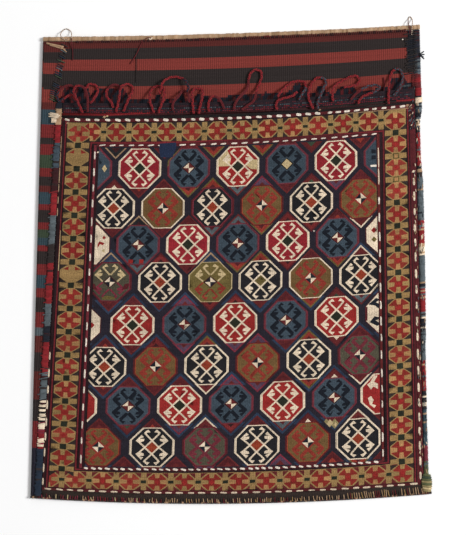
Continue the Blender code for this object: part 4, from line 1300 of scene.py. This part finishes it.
def make_face(material):
    places, heights, faces, colours = draw_face().triangles()
    x, y = places[:, 0], places[:, 1]
    edge = np.minimum(np.minimum(HALF_FACE - np.abs(x), y), FACE_HEIGHT - y)
    inner = smooth_step(edge / CALM_AT_EDGE)
    drawn = places.copy()
    drawn[:, 0] += WANDER_ACROSS * inner * waves(x, y, 0.013, 1)
    drawn[:, 1] += WANDER_UP * inner * waves(x, y, 0.011, 2)
    top = face_top(x, y) + heights + WAVE_HEIGHT * inner * waves(x, y, 0.05, 3)
    made = Mesh()
    made.add(list(world_array(drawn, top)), faces, [tuple(colour) for colour in colours])
    rim = rim_of(faces)
    place_of = {a: i for i, (a, _) in enumerate(rim)}
    points = [tuple(places[a]) for a, _ in rim]
    for i in range(1, UNDER_COLUMNS):
        for j in range(1, UNDER_ROWS):
            across = mix(-HALF_FACE, HALF_FACE, i / UNDER_COLUMNS)
            points.append((across, mix(0.0, FACE_HEIGHT, j / UNDER_ROWS)))
    under, under_faces, sources = triangulate(points, [(place_of[a], place_of[b]) for a, b in rim])
    became = {given: i for i, found in enumerate(sources) for given in found}
    first = len(made.points)
    bottom = face_top(under[:, 0], under[:, 1]) - FACE_THICKNESS
    dark = tint("charcoal")
    under_faces = [face[::-1] for face in under_faces]
    made.add(list(world_array(under, bottom)), under_faces, [dark] * len(under_faces))
    for a, b in rim:
        made.faces.append([b, a, first + became[place_of[a]], first + became[place_of[b]]])
        made.colours.append(dark)
    cloth = np.vstack((places, under))
    piece = finish_piece(made, "soumak_face", "face_panel", material, cloth)


# Back

# How much lower the stripes lie: on the flap above the mouth, and everywhere below the mouth
FLAP_DROP_TOP = 0.0045
FLAP_DROP = 0.0098
DROP_REACH = 0.05

# The steps of the back's mesh from level to level, above the mouth and below it
CLOSURE_STEP = 0.003
POCKET_STEP = 0.009

# Stripes from the hem down
STRIPES = (
    (0.0095, "stripe_maroon"), (0.015, "charcoal"), (0.015, "stripe_red"), (0.021, "charcoal"),
    (0.02, "stripe_red"), (0.008, "stripe_maroon"), (0.017, "teal"), (0.0156, "flap_red"),
    (0.0085, "charcoal"), (0.0141, "flap_red"), (0.0174, "green"), (0.0114, "flap_red"),
    (0.0121, "charcoal"), (0.0083, "stripe_maroon"), (0.0161, "teal"), (0.0077, "flap_red"),
    (0.0164, "charcoal"), (0.0094, "flap_red"), (0.011, "green"), (0.0099, "teal"),
    (0.0079, "flap_red"), (0.017, "charcoal"), (0.0144, "flap_red"), (0.0175, "teal"),
    (0.0122, "flap_red"), (0.0197, "charcoal"), (0.0203, "flap_red"), (0.011, "grey_teal"),
    (0.0221, "stripe_maroon"), (0.0255, "charcoal"), (0.0377, "stripe_maroon"),
    (0.0293, "charcoal"), (0.0366, "flap_red"), (1.0, "navy"),
)


def band_colour(bands, depth):
    # The colour at a depth below the top of a row of bands.
    level = 0.0
    for height, colour in bands:
        level += height
        if depth < level:
            return colour
    return bands[-1][1]


def stripe_drop(up, on_flap):
    return mix(FLAP_DROP_TOP * on_flap, FLAP_DROP, float(smooth_step((FACE_HEIGHT - up) / DROP_REACH)))


def stripe_level(depth):
    # The level at which a stripe ends, below the mouth.
    up = HEM_LEVEL - depth
    for _ in range(12):
        up = HEM_LEVEL - depth - stripe_drop(up, 1.0)
    return up


def flap_width(up):
    return mix(FLAP_WIDTH_BOTTOM, FLAP_WIDTH_TOP, up / HEM_LEVEL)


def flap_inner(up):
    inner = -HALF_FACE - CLEARANCE
    notch = FLAP_NOTCH * np.clip((HEM_LEVEL - up) / CLOSURE_HEIGHT, 0, 1)
    return inner - np.where(up > FACE_HEIGHT, notch, 0.0)


# How many points the back's outline has under the bag, round the fold, on the flap and under it
UNDER_POINTS = 361
FOLD_POINTS = 7
FLAP_POINTS = 19
FLAP_UNDER_POINTS = 5
FLAP_FROM = UNDER_POINTS + FOLD_POINTS
INNER_FOLD_FROM = FLAP_FROM + FLAP_POINTS + FLAP_UNDER_POINTS
SECTION_POINTS = INNER_FOLD_FROM + FOLD_POINTS + UNDER_POINTS


def even_steps(start, end, count):
    return [mix(start, end, i / (count - 1)) for i in range(count)]


def back_section(up):
    # The cloth's outline at a level, as (across, height, rib), from the right edge under to the left.
    fold = FLAP_TOP / 2
    left = -HALF_FACE - flap_width(up) + fold
    inner = float(flap_inner(up))
    small = fold - BACK_THICKNESS
    turn = [math.pi * i / (FOLD_POINTS + 1) for i in range(1, FOLD_POINTS + 1)]
    section = [(across, 0.0, -1.0) for across in even_steps(HALF_FACE, left, UNDER_POINTS)]
    section += [(left - fold * math.sin(a), fold - fold * math.cos(a), 0.0) for a in turn]
    section += [(across, FLAP_TOP, 1.0) for across in even_steps(left, inner, FLAP_POINTS)]
    section += [(across, FLAP_TOP - BACK_THICKNESS, 0.0)
                for across in even_steps(inner, left, FLAP_UNDER_POINTS)]
    section += [(left - small * math.sin(a), fold - small * math.cos(a), 0.0) for a in reversed(turn)]
    return section + [(across, BACK_THICKNESS, 1.0) for across in even_steps(left, HALF_FACE, UNDER_POINTS)]


def back_levels():
    # The levels of the back's mesh. Every stripe ends on one of them.
    ends = [0.0, FACE_HEIGHT, FACE_HEIGHT + 0.0006, HEM_LEVEL]
    depth = 0.0
    for height, _ in STRIPES[:-1]:
        depth += height
        on_closure = HEM_LEVEL - depth > FACE_HEIGHT
        ends.append(HEM_LEVEL - depth if on_closure else stripe_level(depth))
    ends.sort()
    levels = [0.0]
    for low, high in zip(ends, ends[1:]):
        step = CLOSURE_STEP if low >= FACE_HEIGHT else POCKET_STEP
        count = max(1, math.ceil((high - low) / step))
        levels.extend(mix(low, high, i / count) for i in range(1, count + 1))
    return levels


# Where the closure is dark behind the loops, partly dark wool and partly painted shade of the loops: from,
# to, and how far above the mouth
DARK_WOOL_AND_SHADE_BEHIND_LOOPS = (
    (-0.3, 0.3, 0.0075), (-0.245, -0.205, 0.023), (-0.205, -0.15, 0.02),
    (-0.118, -0.104, 0.014), (-0.084, -0.074, 0.016), (-0.062, -0.05, 0.012),
    (0.072, 0.098, 0.017), (0.106, 0.12, 0.015), (0.132, 0.164, 0.015), (0.206, 0.232, 0.02),
)


# The dark wool at the closure's right end: how far it comes in, and from which level up
DARK_END_WIDTH = 0.0085
DARK_END_FROM = FACE_HEIGHT + 0.03


def closure_wool_and_shade(across, up, stripe):
    # The closure's right end is overcast in dark wool. Along the mouth and behind the loops the closure is
    # darker: partly dark wool, partly painted shade of the loops.
    ragged = 0.002 * float(waves(across, up, 0.012, 5))
    if across > HALF_FACE - DARK_END_WIDTH + ragged and up > DARK_END_FROM:
        return "ink"
    reach = 0.0
    for start, end, height in DARK_WOOL_AND_SHADE_BEHIND_LOOPS:
        if start < across < end:
            off_middle = (2 * across - start - end) / (end - start)
            reach = max(reach, height * math.sqrt(1 - off_middle**4))
    # Behind the loops: dark colours, partly dark wool and partly painted shade of the loops.
    if up - FACE_HEIGHT < reach + 0.005 * float(waves(across, 0.3 * up, 0.03, 6)):
        patchy = float(waves(across, 0.6 * up, 0.009, 7))
        if patchy < -0.4:
            return "wool_dark_red"
        return "ink" if patchy > -0.05 else "dark_maroon"
    return stripe


def make_back(material):
    levels = back_levels()
    dark = linear(YARN["charcoal"])
    made = Mesh()
    cloth = []
    for up in levels:
        for across, z, side in back_section(up):
            rib = RIB_HEIGHT * (0.5 - 0.5 * math.cos(2 * math.pi * across / RIB_PITCH))
            if side < 0:
                z += rib
            elif side > 0 and (up > FACE_HEIGHT + 0.0005 or z > 2 * BACK_THICKNESS):
                z += rib - RIB_HEIGHT / 2
            made.points.append(world(across, up, z))
            cloth.append((across, up))
    flap_end = FLAP_FROM + FLAP_POINTS + 1
    for j in range(len(levels) - 1):
        middle = (levels[j] + levels[j + 1]) / 2
        row = j * SECTION_POINTS
        above = row + SECTION_POINTS
        for i in range(SECTION_POINTS - 1):
            on_flap = float(smooth_step((i - UNDER_POINTS) / FOLD_POINTS)) if i < flap_end else 0.0
            colour = band_colour(STRIPES, HEM_LEVEL - middle - stripe_drop(middle, on_flap))
            # On the closure: dark wool at the right end, and darker colours behind the loops that are partly
            # painted shade.
            if i > flap_end and middle > FACE_HEIGHT:
                colour = closure_wool_and_shade(cloth[row + i][0], middle, colour)
            made.faces.append([row + i, above + i, above + i + 1, row + i + 1])
            made.colours.append(linear(YARN[colour]))
        made.faces.append([above - 1, above + SECTION_POINTS - 1, above, row])
        made.colours.append(dark)
    close_ends(made, (len(levels) - 1) * SECTION_POINTS, dark)
    piece = finish_piece(made, "striped_back", "back_panel", material, np.array(cloth))


def close_ends(made, last_row, colour):
    # The cut ends: the same number of points run round the outer and the inner side.
    outer = list(range(FLAP_FROM))
    inner = list(range(SECTION_POINTS - 1, SECTION_POINTS - 1 - UNDER_POINTS, -1))
    inner += range(INNER_FOLD_FROM + FOLD_POINTS - 1, INNER_FOLD_FROM - 1, -1)
    ends = [[outer[i], outer[i + 1], inner[i + 1], inner[i]] for i in range(FLAP_FROM - 1)]
    ends.append([outer[-1], *range(FLAP_FROM, INNER_FOLD_FROM), inner[-1]])
    for first, flip in ((0, False), (last_row, True)):
        for end in ends:
            face = [first + k for k in end]
            made.faces.append(face[::-1] if flip else face)
            made.colours.append(colour)


# Sewn edges

# The wool of the left seam and of the right edge, in bands from the mouth down
SEAM_WOOL = (
    (0.009, "ink"), (0.0186, "hem"), (0.0257, "wool_red"), (0.0332, "wool_grey"),
    (0.031, "dark_maroon"), (0.032, "wool_red"), (0.0379, "grey_teal"), (0.0256, "charcoal"),
    (0.0511, "wool_red"), (0.0312, "grey_teal"), (0.0219, "ink"), (0.0399, "wool_red"),
    (0.0369, "grey_teal"), (0.0293, "ribbed"), (0.0367, "frayed_red"), (1.0, "navy_wool"),
)
EDGE_WOOL = (
    (0.013, "wool_red"), (0.005, "cream"), (0.041, "speckled"), (0.043, "wool_red"),
    (0.015, "flecked"), (0.057, "grey_teal"), (0.032, "wool_red"), (0.018, "flecked"),
    (0.042, "grey_teal"), (0.03, "wool_red"), (0.029, "flecked"), (0.035, "grey_teal"),
    (0.039, "wool_red"), (0.025, "flecked"), (0.046, "teal"), (0.02, "wine"),
    (0.018, "olive_green"), (1.0, "olive_tan"),
)

# Wool whose turns differ
MIXED_WOOL = {
    "speckled": ("ink", "grey_teal", "ink", "night", "cream", "wool_grey"),
    "flecked": ("charcoal", "ink", "hem", "charcoal", "cream", "grey_teal"),
    "ribbed": ("cream", "black"),
    "frayed_red": ("wool_red", "wool_red", "plum", "cream"),
}


TURN_STEPS = 4
BEAD_SIDES = 12

# Loose threads: the steps along them, and the radius of most threads and of the smaller flecks
THREAD_STEP = 0.0012
LOOSE_RADIUS = 0.0007
FLECK_RADIUS = 0.0005


def turn_at(turn, turns):
    return max(0, min(len(turns) - 1, math.floor(turn + 0.5)))


def wrapped(across, bottom, top, colour_at, width, height, base, pitch, level=False, ragged=0.0,
            depth=0.16, trim_at=None):
    # A strip wrapped in yarn: each turn of the yarn is a ridge that slants a little. ragged is how
    # far a turn may reach out sideways, to the left if it is below 0. trim_at says how much narrower
    # the right side is at a place along the strip.
    made = Mesh()
    length = top - bottom
    turns = max(2, round(length / pitch))
    count = turns * TURN_STEPS
    colours = [tint(colour_at(length * (1 - i / turns)), 0.16) for i in range(turns + 2)]
    reach = [ragged * chance.random() for _ in colours]
    for i in range(count + 1):
        along = mix(bottom, top, i / count)
        trim = trim_at(along) if trim_at else 0.0
        for k in range(BEAD_SIDES):
            angle = 2 * math.pi * k / BEAD_SIDES
            turn = i / TURN_STEPS + 0.5 * math.sin(angle)
            swell = 1 - depth + depth * abs(math.sin(math.pi * turn)) ** 0.6
            side = (width - trim) / 2 * math.cos(angle) * swell - trim / 2
            if side * ragged > 0:
                side += reach[turn_at(turn, colours)] * abs(math.cos(angle))
            z = base + height / 2 + height / 2 * math.sin(angle) * swell
            made.points.append(world(along, across + side, z) if level else world(across + side, along, z))
    faces = tube_faces(count, BEAD_SIDES)
    made.faces = faces if level else [face[::-1] for face in faces]
    for i in range(count):
        for k in range(BEAD_SIDES):
            turn = i / TURN_STEPS + 0.5 * math.sin(2 * math.pi * (k + 0.5) / BEAD_SIDES)
            made.colours.append(colours[turn_at(turn, colours)])
    made.colours.extend([colours[0], colours[-1]])
    return made


def add_thread(made, places, radius, colour, step=THREAD_STEP):
    # A loose thread through places given as (across, up, height).
    path = smooth_route([world(*place) for place in places], step)
    made.add(*tube(path, radius, THREAD_SIDES, [tint(colour, 0.14) for _ in path]))


def add_stitch(made, across, up, lean, reach, ends, top, radius, colour, step=THREAD_STEP):
    # A short stitch along the strip, whose middle lies higher than its ends.
    places = ((across - lean, up - reach, ends), (across, up, top), (across + lean, up + reach, ends))
    add_thread(made, places, radius, colour, step)


def face_level(across, up):
    return FACE_BASE + FACE_THICKNESS + float(pocket_lift(across, up))


RIGHT_EDGE = HALF_FACE + CLEARANCE + RIGHT_BINDING_WIDTH / 2
OUTER_EDGE = RIGHT_EDGE + RIGHT_BINDING_WIDTH / 2

# How much narrower the right edge is than its solid, by level
EDGE_LEVELS = (0.0, 0.012, 0.073, 0.185, 0.2, 0.28, 0.371, 0.403, 0.434, 0.48, 0.5)
EDGE_TRIMS = (0.0016, 0.003, 0.0036, 0.0034, 0.0024, 0.0012, 0.0008, 0.001, 0.0032, 0.0036, 0.0)


def edge_trim(up):
    return float(np.interp(up, EDGE_LEVELS, EDGE_TRIMS))


def mixed_wool(bands, depth, turn):
    colour = band_colour(bands, depth)
    if colour == "ribbed":
        return MIXED_WOOL[colour][turn % 2]
    return chance.choice(MIXED_WOOL[colour]) if colour in MIXED_WOOL else colour


# How many flecks of other wool lie on the right edge, beside it and at its upper corner
FLECKS_ON_EDGE = 110
FLECKS_BESIDE_EDGE = 70
FLECKS_AT_CORNER = 40

# The lump of wool at the right edge's lower end, from below
CORNER_WOOL = ("olive_tan", "tan", "olive_tan", "olive_green", "olive_tan", "olive_green", "green",
               "olive_green")


def add_edge_flecks(made):
    for _ in range(FLECKS_ON_EDGE):
        up = chance.uniform(0.02, FACE_HEIGHT - 0.012)
        side = chance.uniform(-0.7, 0.75)
        reach = chance.uniform(0.0015, 0.0034)
        colour = chance.choice(("hem", "cream", "grey_teal", "ink", "charcoal", "grey_teal"))
        half = RIGHT_BINDING_HEIGHT / 2
        level = half + half * math.sqrt(1 - side * side) + 0.0001
        across = RIGHT_EDGE + (side * (RIGHT_BINDING_WIDTH - edge_trim(up)) - edge_trim(up)) / 2
        lean = chance.uniform(-0.0008, 0.0008)
        add_stitch(made, across, up, lean, reach, level - 0.0006, level, 0.00055, colour)
    for _ in range(FLECKS_BESIDE_EDGE):
        up = chance.uniform(0.02, 0.43)
        across = HALF_FACE - chance.uniform(0.0004, 0.0042)
        base = face_level(across, up) + RAISED / 2
        lean = chance.uniform(-0.0006, 0.0006)
        colour = chance.choice(("cream", "hem", "grey_teal", "dark_red", "hem"))
        add_stitch(made, across, up, lean, 0.0018, base, base + 0.0006, FLECK_RADIUS, colour, 0.001)
    for _ in range(FLECKS_AT_CORNER):
        up = chance.uniform(FACE_HEIGHT - 0.055, FACE_HEIGHT - 0.016)
        across = HALF_FACE - chance.uniform(0.0, 0.008)
        base = face_level(across, up)
        colour = chance.choice(("grey_teal", "ink", "cream", "ink", "charcoal"))
        add_stitch(made, across + 0.0006, up, 0.0006, 0.0014, base, base + 0.0007, FLECK_RADIUS, colour,
                   0.0008)


def make_right_edge(wool):
    def colour_at(depth):
        if chance.random() < 0.1:
            return chance.choice(("grey_teal", "ink", "hem"))
        return mixed_wool(EDGE_WOOL, depth, 0)

    high = RIGHT_BINDING_HEIGHT
    made = wrapped(RIGHT_EDGE, 0.0, FACE_HEIGHT, colour_at, RIGHT_BINDING_WIDTH, high, 0.0, 0.0022,
                   ragged=0.0006, depth=0.2, trim_at=edge_trim)
    add_edge_flecks(made)
    for i in range(5):
        up = FACE_HEIGHT - 0.0195 + 0.0013 * i
        places = ((HALF_FACE + 0.0005, up, high * 0.9), (RIGHT_EDGE, up + 0.0004, high + 0.0006),
                  (OUTER_EDGE + 0.0006, up + 0.0008, high * 0.5))
        add_thread(made, places, 0.0006, "cream")
    for i, colour in enumerate(CORNER_WOOL):
        up = 0.0015 + 0.0027 * i
        swell = math.sin(math.pi * (i + 1) / (len(CORNER_WOOL) + 1))
        places = ((HALF_FACE + 0.0005 - 0.003 * swell, up + 0.001, high - 0.0006),
                  (RIGHT_EDGE, up - 0.0004, high + 0.0013 * swell),
                  (OUTER_EDGE - 0.0022 + 0.0024 * swell, up - 0.001, 0.4 * high))
        add_thread(made, places, 0.0016, colour)
    finish_piece(made, "right_edge_wrapping", "right_edge_binding", wool)


# The closure edge's wool below these depths is grey and then red. The tuft of wool beside it starts
# at its root and ends at its tips.
GREY_WOOL_FROM = 0.041
RED_WOOL_FROM = 0.064
EDGE_THREADS = 30
EDGE_THREAD_PITCH = 0.0026
TUFT_ROOT = (0.25, 0.5755, 0.0045)
TUFT_TIPS = ((0.2568, 0.58), (0.2575, 0.5755), (0.2562, 0.5718), (0.257, 0.569))


def make_closure_edge(wool):
    def colour_at(depth):
        if depth > RED_WOOL_FROM:
            return chance.choice(("wool_red", "wool_dark_red", "wool_red", "maroon"))
        if depth > GREY_WOOL_FROM:
            return chance.choice(("grey_teal", "wool_grey", "grey_teal", "ink"))
        return chance.choice(("ink", "night", "ink", "navy", "ink", "dark_maroon"))

    made = wrapped(RIGHT_EDGE, FACE_HEIGHT + CLEARANCE, HEM_LEVEL, colour_at, RIGHT_BINDING_WIDTH,
                   CLOSURE_BINDING_HEIGHT, 0.0, 0.0024, depth=0.2)
    for i in range(EDGE_THREADS):
        up = FACE_HEIGHT + 0.004 + EDGE_THREAD_PITCH * i
        red = up < FACE_HEIGHT + 0.02
        reach = chance.uniform(0.002, 0.004) if red else chance.uniform(0.006, 0.014)
        colour = chance.choice(("wool_red", "dark_red") if red else ("ink", "night", "charcoal"))
        places = ((HALF_FACE - reach, up - 0.001, ON_CLOSURE + 0.0004),
                  (HALF_FACE - 0.001, up, ON_CLOSURE + 0.0016),
                  (RIGHT_EDGE, up + 0.001, CLOSURE_BINDING_HEIGHT + 0.0001))
        add_thread(made, places, LOOSE_RADIUS, colour)
    for across, up in TUFT_TIPS:
        bend = (0.2535, (TUFT_ROOT[1] + up) / 2, 0.0058)
        add_thread(made, (TUFT_ROOT, bend, (across, up, 0.004)), 0.0008, "ink")
    for i in range(7):
        across = 0.225 + 0.0019 * i
        places = ((across, 0.5315, ON_CLOSURE + 0.0006), (across, 0.5328, ON_CLOSURE + 0.0013),
                  (across + 0.0004, 0.5341, ON_CLOSURE + 0.0006))
        add_thread(made, places, FLECK_RADIUS, "grey_teal", 0.0008)
    finish_piece(made, "closure_edge_overcast", "closure_edge_binding", wool)


SEAM_TURN = 0.003
SEAM_VISIBLE_WIDTH = 0.008
SEAM_OVER_FACE = 0.0006
SEAM_THREADS = 60
SEAM_THREAD_PITCH = 0.0086
CLOSURE_STITCHES = 29
CLOSURE_STITCH_PITCH = 0.0027
CREAM_TUFT_LEVEL = 0.5085
CREAM_KNOT_FROM = -0.255
OVER_FLAP = FLAP_TOP + 0.0008
OVER_CLOSURE = ON_CLOSURE + 0.0006


def make_left_seam(wool):
    def colour_at(depth):
        if chance.random() < 0.08:
            return chance.choice(("dark_maroon", "charcoal"))
        return mixed_wool(SEAM_WOOL, depth, round(depth / SEAM_TURN))

    seam = -HALF_FACE + SEAM_OVER_FACE - SEAM_VISIBLE_WIDTH / 2
    base = FLAP_TOP + CLEARANCE
    made = wrapped(seam, 0.0, FACE_HEIGHT, colour_at, SEAM_VISIBLE_WIDTH, SEAM_WOOL_HEIGHT, base,
                   SEAM_TURN, ragged=-0.0016, depth=0.25)
    top = base + SEAM_WOOL_HEIGHT
    for i in range(SEAM_THREADS):
        up = 0.006 + SEAM_THREAD_PITCH * i + chance.uniform(-0.002, 0.002)
        colour = mixed_wool(SEAM_WOOL, FACE_HEIGHT - up, i)
        left = seam - SEAM_VISIBLE_WIDTH / 2 - chance.uniform(0.001, 0.004)
        places = ((left, up - 0.002, OVER_FLAP + 0.0001), (seam, up, top + 0.0002),
                  (-HALF_FACE + 0.0012, up + 0.001, top + 0.0001))
        add_thread(made, places, LOOSE_RADIUS, colour)
    for i in range(CLOSURE_STITCHES):
        up = FACE_HEIGHT + 0.003 + CLOSURE_STITCH_PITCH * i
        edge = float(flap_inner(up))
        if chance.random() < 0.85:
            colour = chance.choice(("navy_wool", "ink", "charcoal", "green", "navy_wool", "grey_teal"))
            left = edge - chance.uniform(0.003, 0.006)
            right = edge + chance.uniform(0.003, 0.006)
            places = ((left, up + 0.002, OVER_FLAP + 0.0001), (edge + 0.0004, up, OVER_FLAP - 0.0002),
                      (right, up - 0.002, ON_CLOSURE + 0.0008))
            add_thread(made, places, LOOSE_RADIUS, colour)
    for i in range(4):
        up = CREAM_TUFT_LEVEL + 0.0016 * i
        places = ((-0.26 + 0.002 * (i % 2), up + 0.001, OVER_FLAP + 0.0002), (-0.253, up, top + 0.0008),
                  (-0.2462 + 0.001 * (i % 3), up - 0.001, top + 0.0006))
        add_thread(made, places, LOOSE_RADIUS, "cream")
    for i in range(4):
        across = CREAM_KNOT_FROM + 0.0017 * i
        places = ((across, 0.507, top + 0.0004), (across + 0.0005, 0.504, top + 0.0012),
                  (across, 0.5012, top + 0.0003))
        add_thread(made, places, 0.0009, "cream")
    finish_piece(made, "left_seam_overcast", "left_seam_wool", wool)


# The bottom stitches' wool, and left of BOTTOM_LEFT
BOTTOM_LEFT = -0.115
BOTTOM_WOOL = ("hem", "hem_dark", "hem_pale", "wool_dark_red", "brown_black", "gold", "brown_black")
BOTTOM_LEFT_WOOL = ("hem", "wool_red", "brown_black", "tan", "plum", "wool_dark_red")

# From here to the right, the bottom stitches are longer
LONGER_FROM = 0.145


def make_bottom_edge(cotton):
    def colour_at(depth):
        return chance.choice(("brown_black", "brown_black", "charcoal", "maroon", "brown_black", "hem"))

    left = -HALF_FACE - FLAP_WIDTH_BOTTOM
    made = wrapped(-CLEARANCE - BOTTOM_BINDING_WIDTH / 2, left, OUTER_EDGE, colour_at, BOTTOM_BINDING_WIDTH,
                   BOTTOM_BINDING_HEIGHT, 0.0, 0.0022, level=True, depth=0.2)
    across = -HALF_FACE - 0.002
    top = FACE_BASE + FACE_THICKNESS
    while across < HALF_FACE + 0.004:
        longer = 0.0028 if across > LONGER_FROM else 0.0
        start = chance.uniform(0.0018, 0.0044) + longer
        lean = chance.uniform(-0.0008, 0.0018) + longer / 2
        colour = chance.choice(BOTTOM_LEFT_WOOL if across < BOTTOM_LEFT else BOTTOM_WOOL)
        places = ((across, start, top + 0.0003), (across + lean / 2, -0.0006, top + 0.0007),
                  (across + lean, -0.0034, 0.003))
        add_thread(made, places, 0.00055, colour)
        across += chance.uniform(0.0022, 0.0036)
    finish_piece(made, "bottom_edge_overcast", "bottom_edge_stitching", cotton)


# Loose threads at the hem and on the closure: radius, colour, step, and places as (across, up, height)
HEM_THREADS = (
    (0.0012, "hem", 0.002, ((-0.269, 0.6098, OVER_FLAP), (-0.2445, 0.6045, OVER_FLAP))),
    (0.0009, "hem", 0.002, ((-0.264, 0.6072, OVER_FLAP), (-0.242, 0.601, OVER_FLAP))),
    (0.0008, "hem", 0.002, ((-0.25, 0.606, OVER_FLAP), (-0.24, 0.5975, OVER_FLAP))),
    (0.0006, "wool_dark_red", THREAD_STEP,
     ((-0.1225, 0.615, HEM_HEIGHT + 0.0002), (-0.129, 0.615, HEM_HEIGHT + 0.0002),
      (-0.135, 0.6105, OVER_CLOSURE), (-0.1381, 0.605, OVER_CLOSURE),
      (-0.1431, 0.5937, OVER_CLOSURE), (-0.1509, 0.5812, OVER_CLOSURE))),
    (0.0004, "charcoal", THREAD_STEP,
     ((-0.1433, 0.599, OVER_CLOSURE), (-0.1425, 0.578, OVER_CLOSURE), (-0.1416, 0.5565, OVER_CLOSURE))),
    (0.0009, "cream", THREAD_STEP,
     ((-0.1215, 0.6155, HEM_HEIGHT), (-0.124, 0.613, HEM_HEIGHT + 0.0004), (-0.1262, 0.615, HEM_HEIGHT))),
    *((0.0005, "wool_red", THREAD_STEP,
       ((0.0345 + 0.0022 * i, 0.614, HEM_HEIGHT), (0.0355 + 0.0022 * i, 0.6115, OVER_CLOSURE + 0.001)))
      for i in range(4)),
    (0.0008, "white", 0.0008, ((0.2272, 0.5992, OVER_CLOSURE), (0.2288, 0.5996, OVER_CLOSURE))),
    (0.0009, "wool_dark_red", THREAD_STEP,
     ((0.2007, 0.5478, OVER_CLOSURE), (0.2016, 0.539, OVER_CLOSURE + 0.0006),
      (0.2003, 0.529, OVER_CLOSURE))),
)

# Where the row of stitches along the hem starts
HEM_STITCHES_FROM = -0.2262


def make_hem(cotton):
    def colour_at(depth):
        return chance.choice(("hem", "hem", "hem_pale", "hem", "hem_dark"))

    made = wrapped(HEM_LEVEL + CLEARANCE + HEM_WIDTH / 2, -HALF_FACE - FLAP_WIDTH_TOP, OUTER_EDGE, colour_at,
                   HEM_WIDTH, HEM_HEIGHT, 0.0, 0.0029, level=True, ragged=0.0007, depth=0.08)
    middle = CLEARANCE + HEM_WIDTH / 2
    across = HEM_STITCHES_FROM
    while across < HALF_FACE - 0.01:
        reach = mix(0.0006, 0.0014, float(smooth_step((across + 0.16) / 0.2)))
        reach += chance.uniform(-0.0004, 0.0004)
        off_middle = min(1.0, abs(reach - middle) / HEM_WIDTH * 2)
        on_hem = HEM_HEIGHT / 2 * (1 + math.sqrt(1 - off_middle**2))
        places = ((across, HEM_LEVEL - 0.0016, ON_CLOSURE), (across, HEM_LEVEL, ON_CLOSURE + 0.001),
                  (across, HEM_LEVEL + reach, on_hem + 0.0003))
        colour = chance.choice(("stripe_maroon", "stripe_maroon", "stripe_maroon", "dark_maroon"))
        add_thread(made, places, 0.001, colour)
        across += RIB_PITCH
    for radius, colour, step, places in HEM_THREADS:
        add_thread(made, places, radius, colour, step)
    finish_piece(made, "rolled_hem", "mouth_hem", cotton)


def main():
    place_camera()
    wool = make_yarn_material("wool_yarn", 0.6, 1.4)
    cotton = make_yarn_material("cotton_yarn", 0.75, 1.25)
    make_closing_loops(wool)
    make_threads(wool)
    light_scene()
    lay_floor()
    make_face(make_soumak_material())
    make_back(make_flatweave_material())
    make_right_edge(wool)
    make_closure_edge(wool)
    make_left_seam(wool)
    make_bottom_edge(cotton)
    make_hem(cotton)


main()
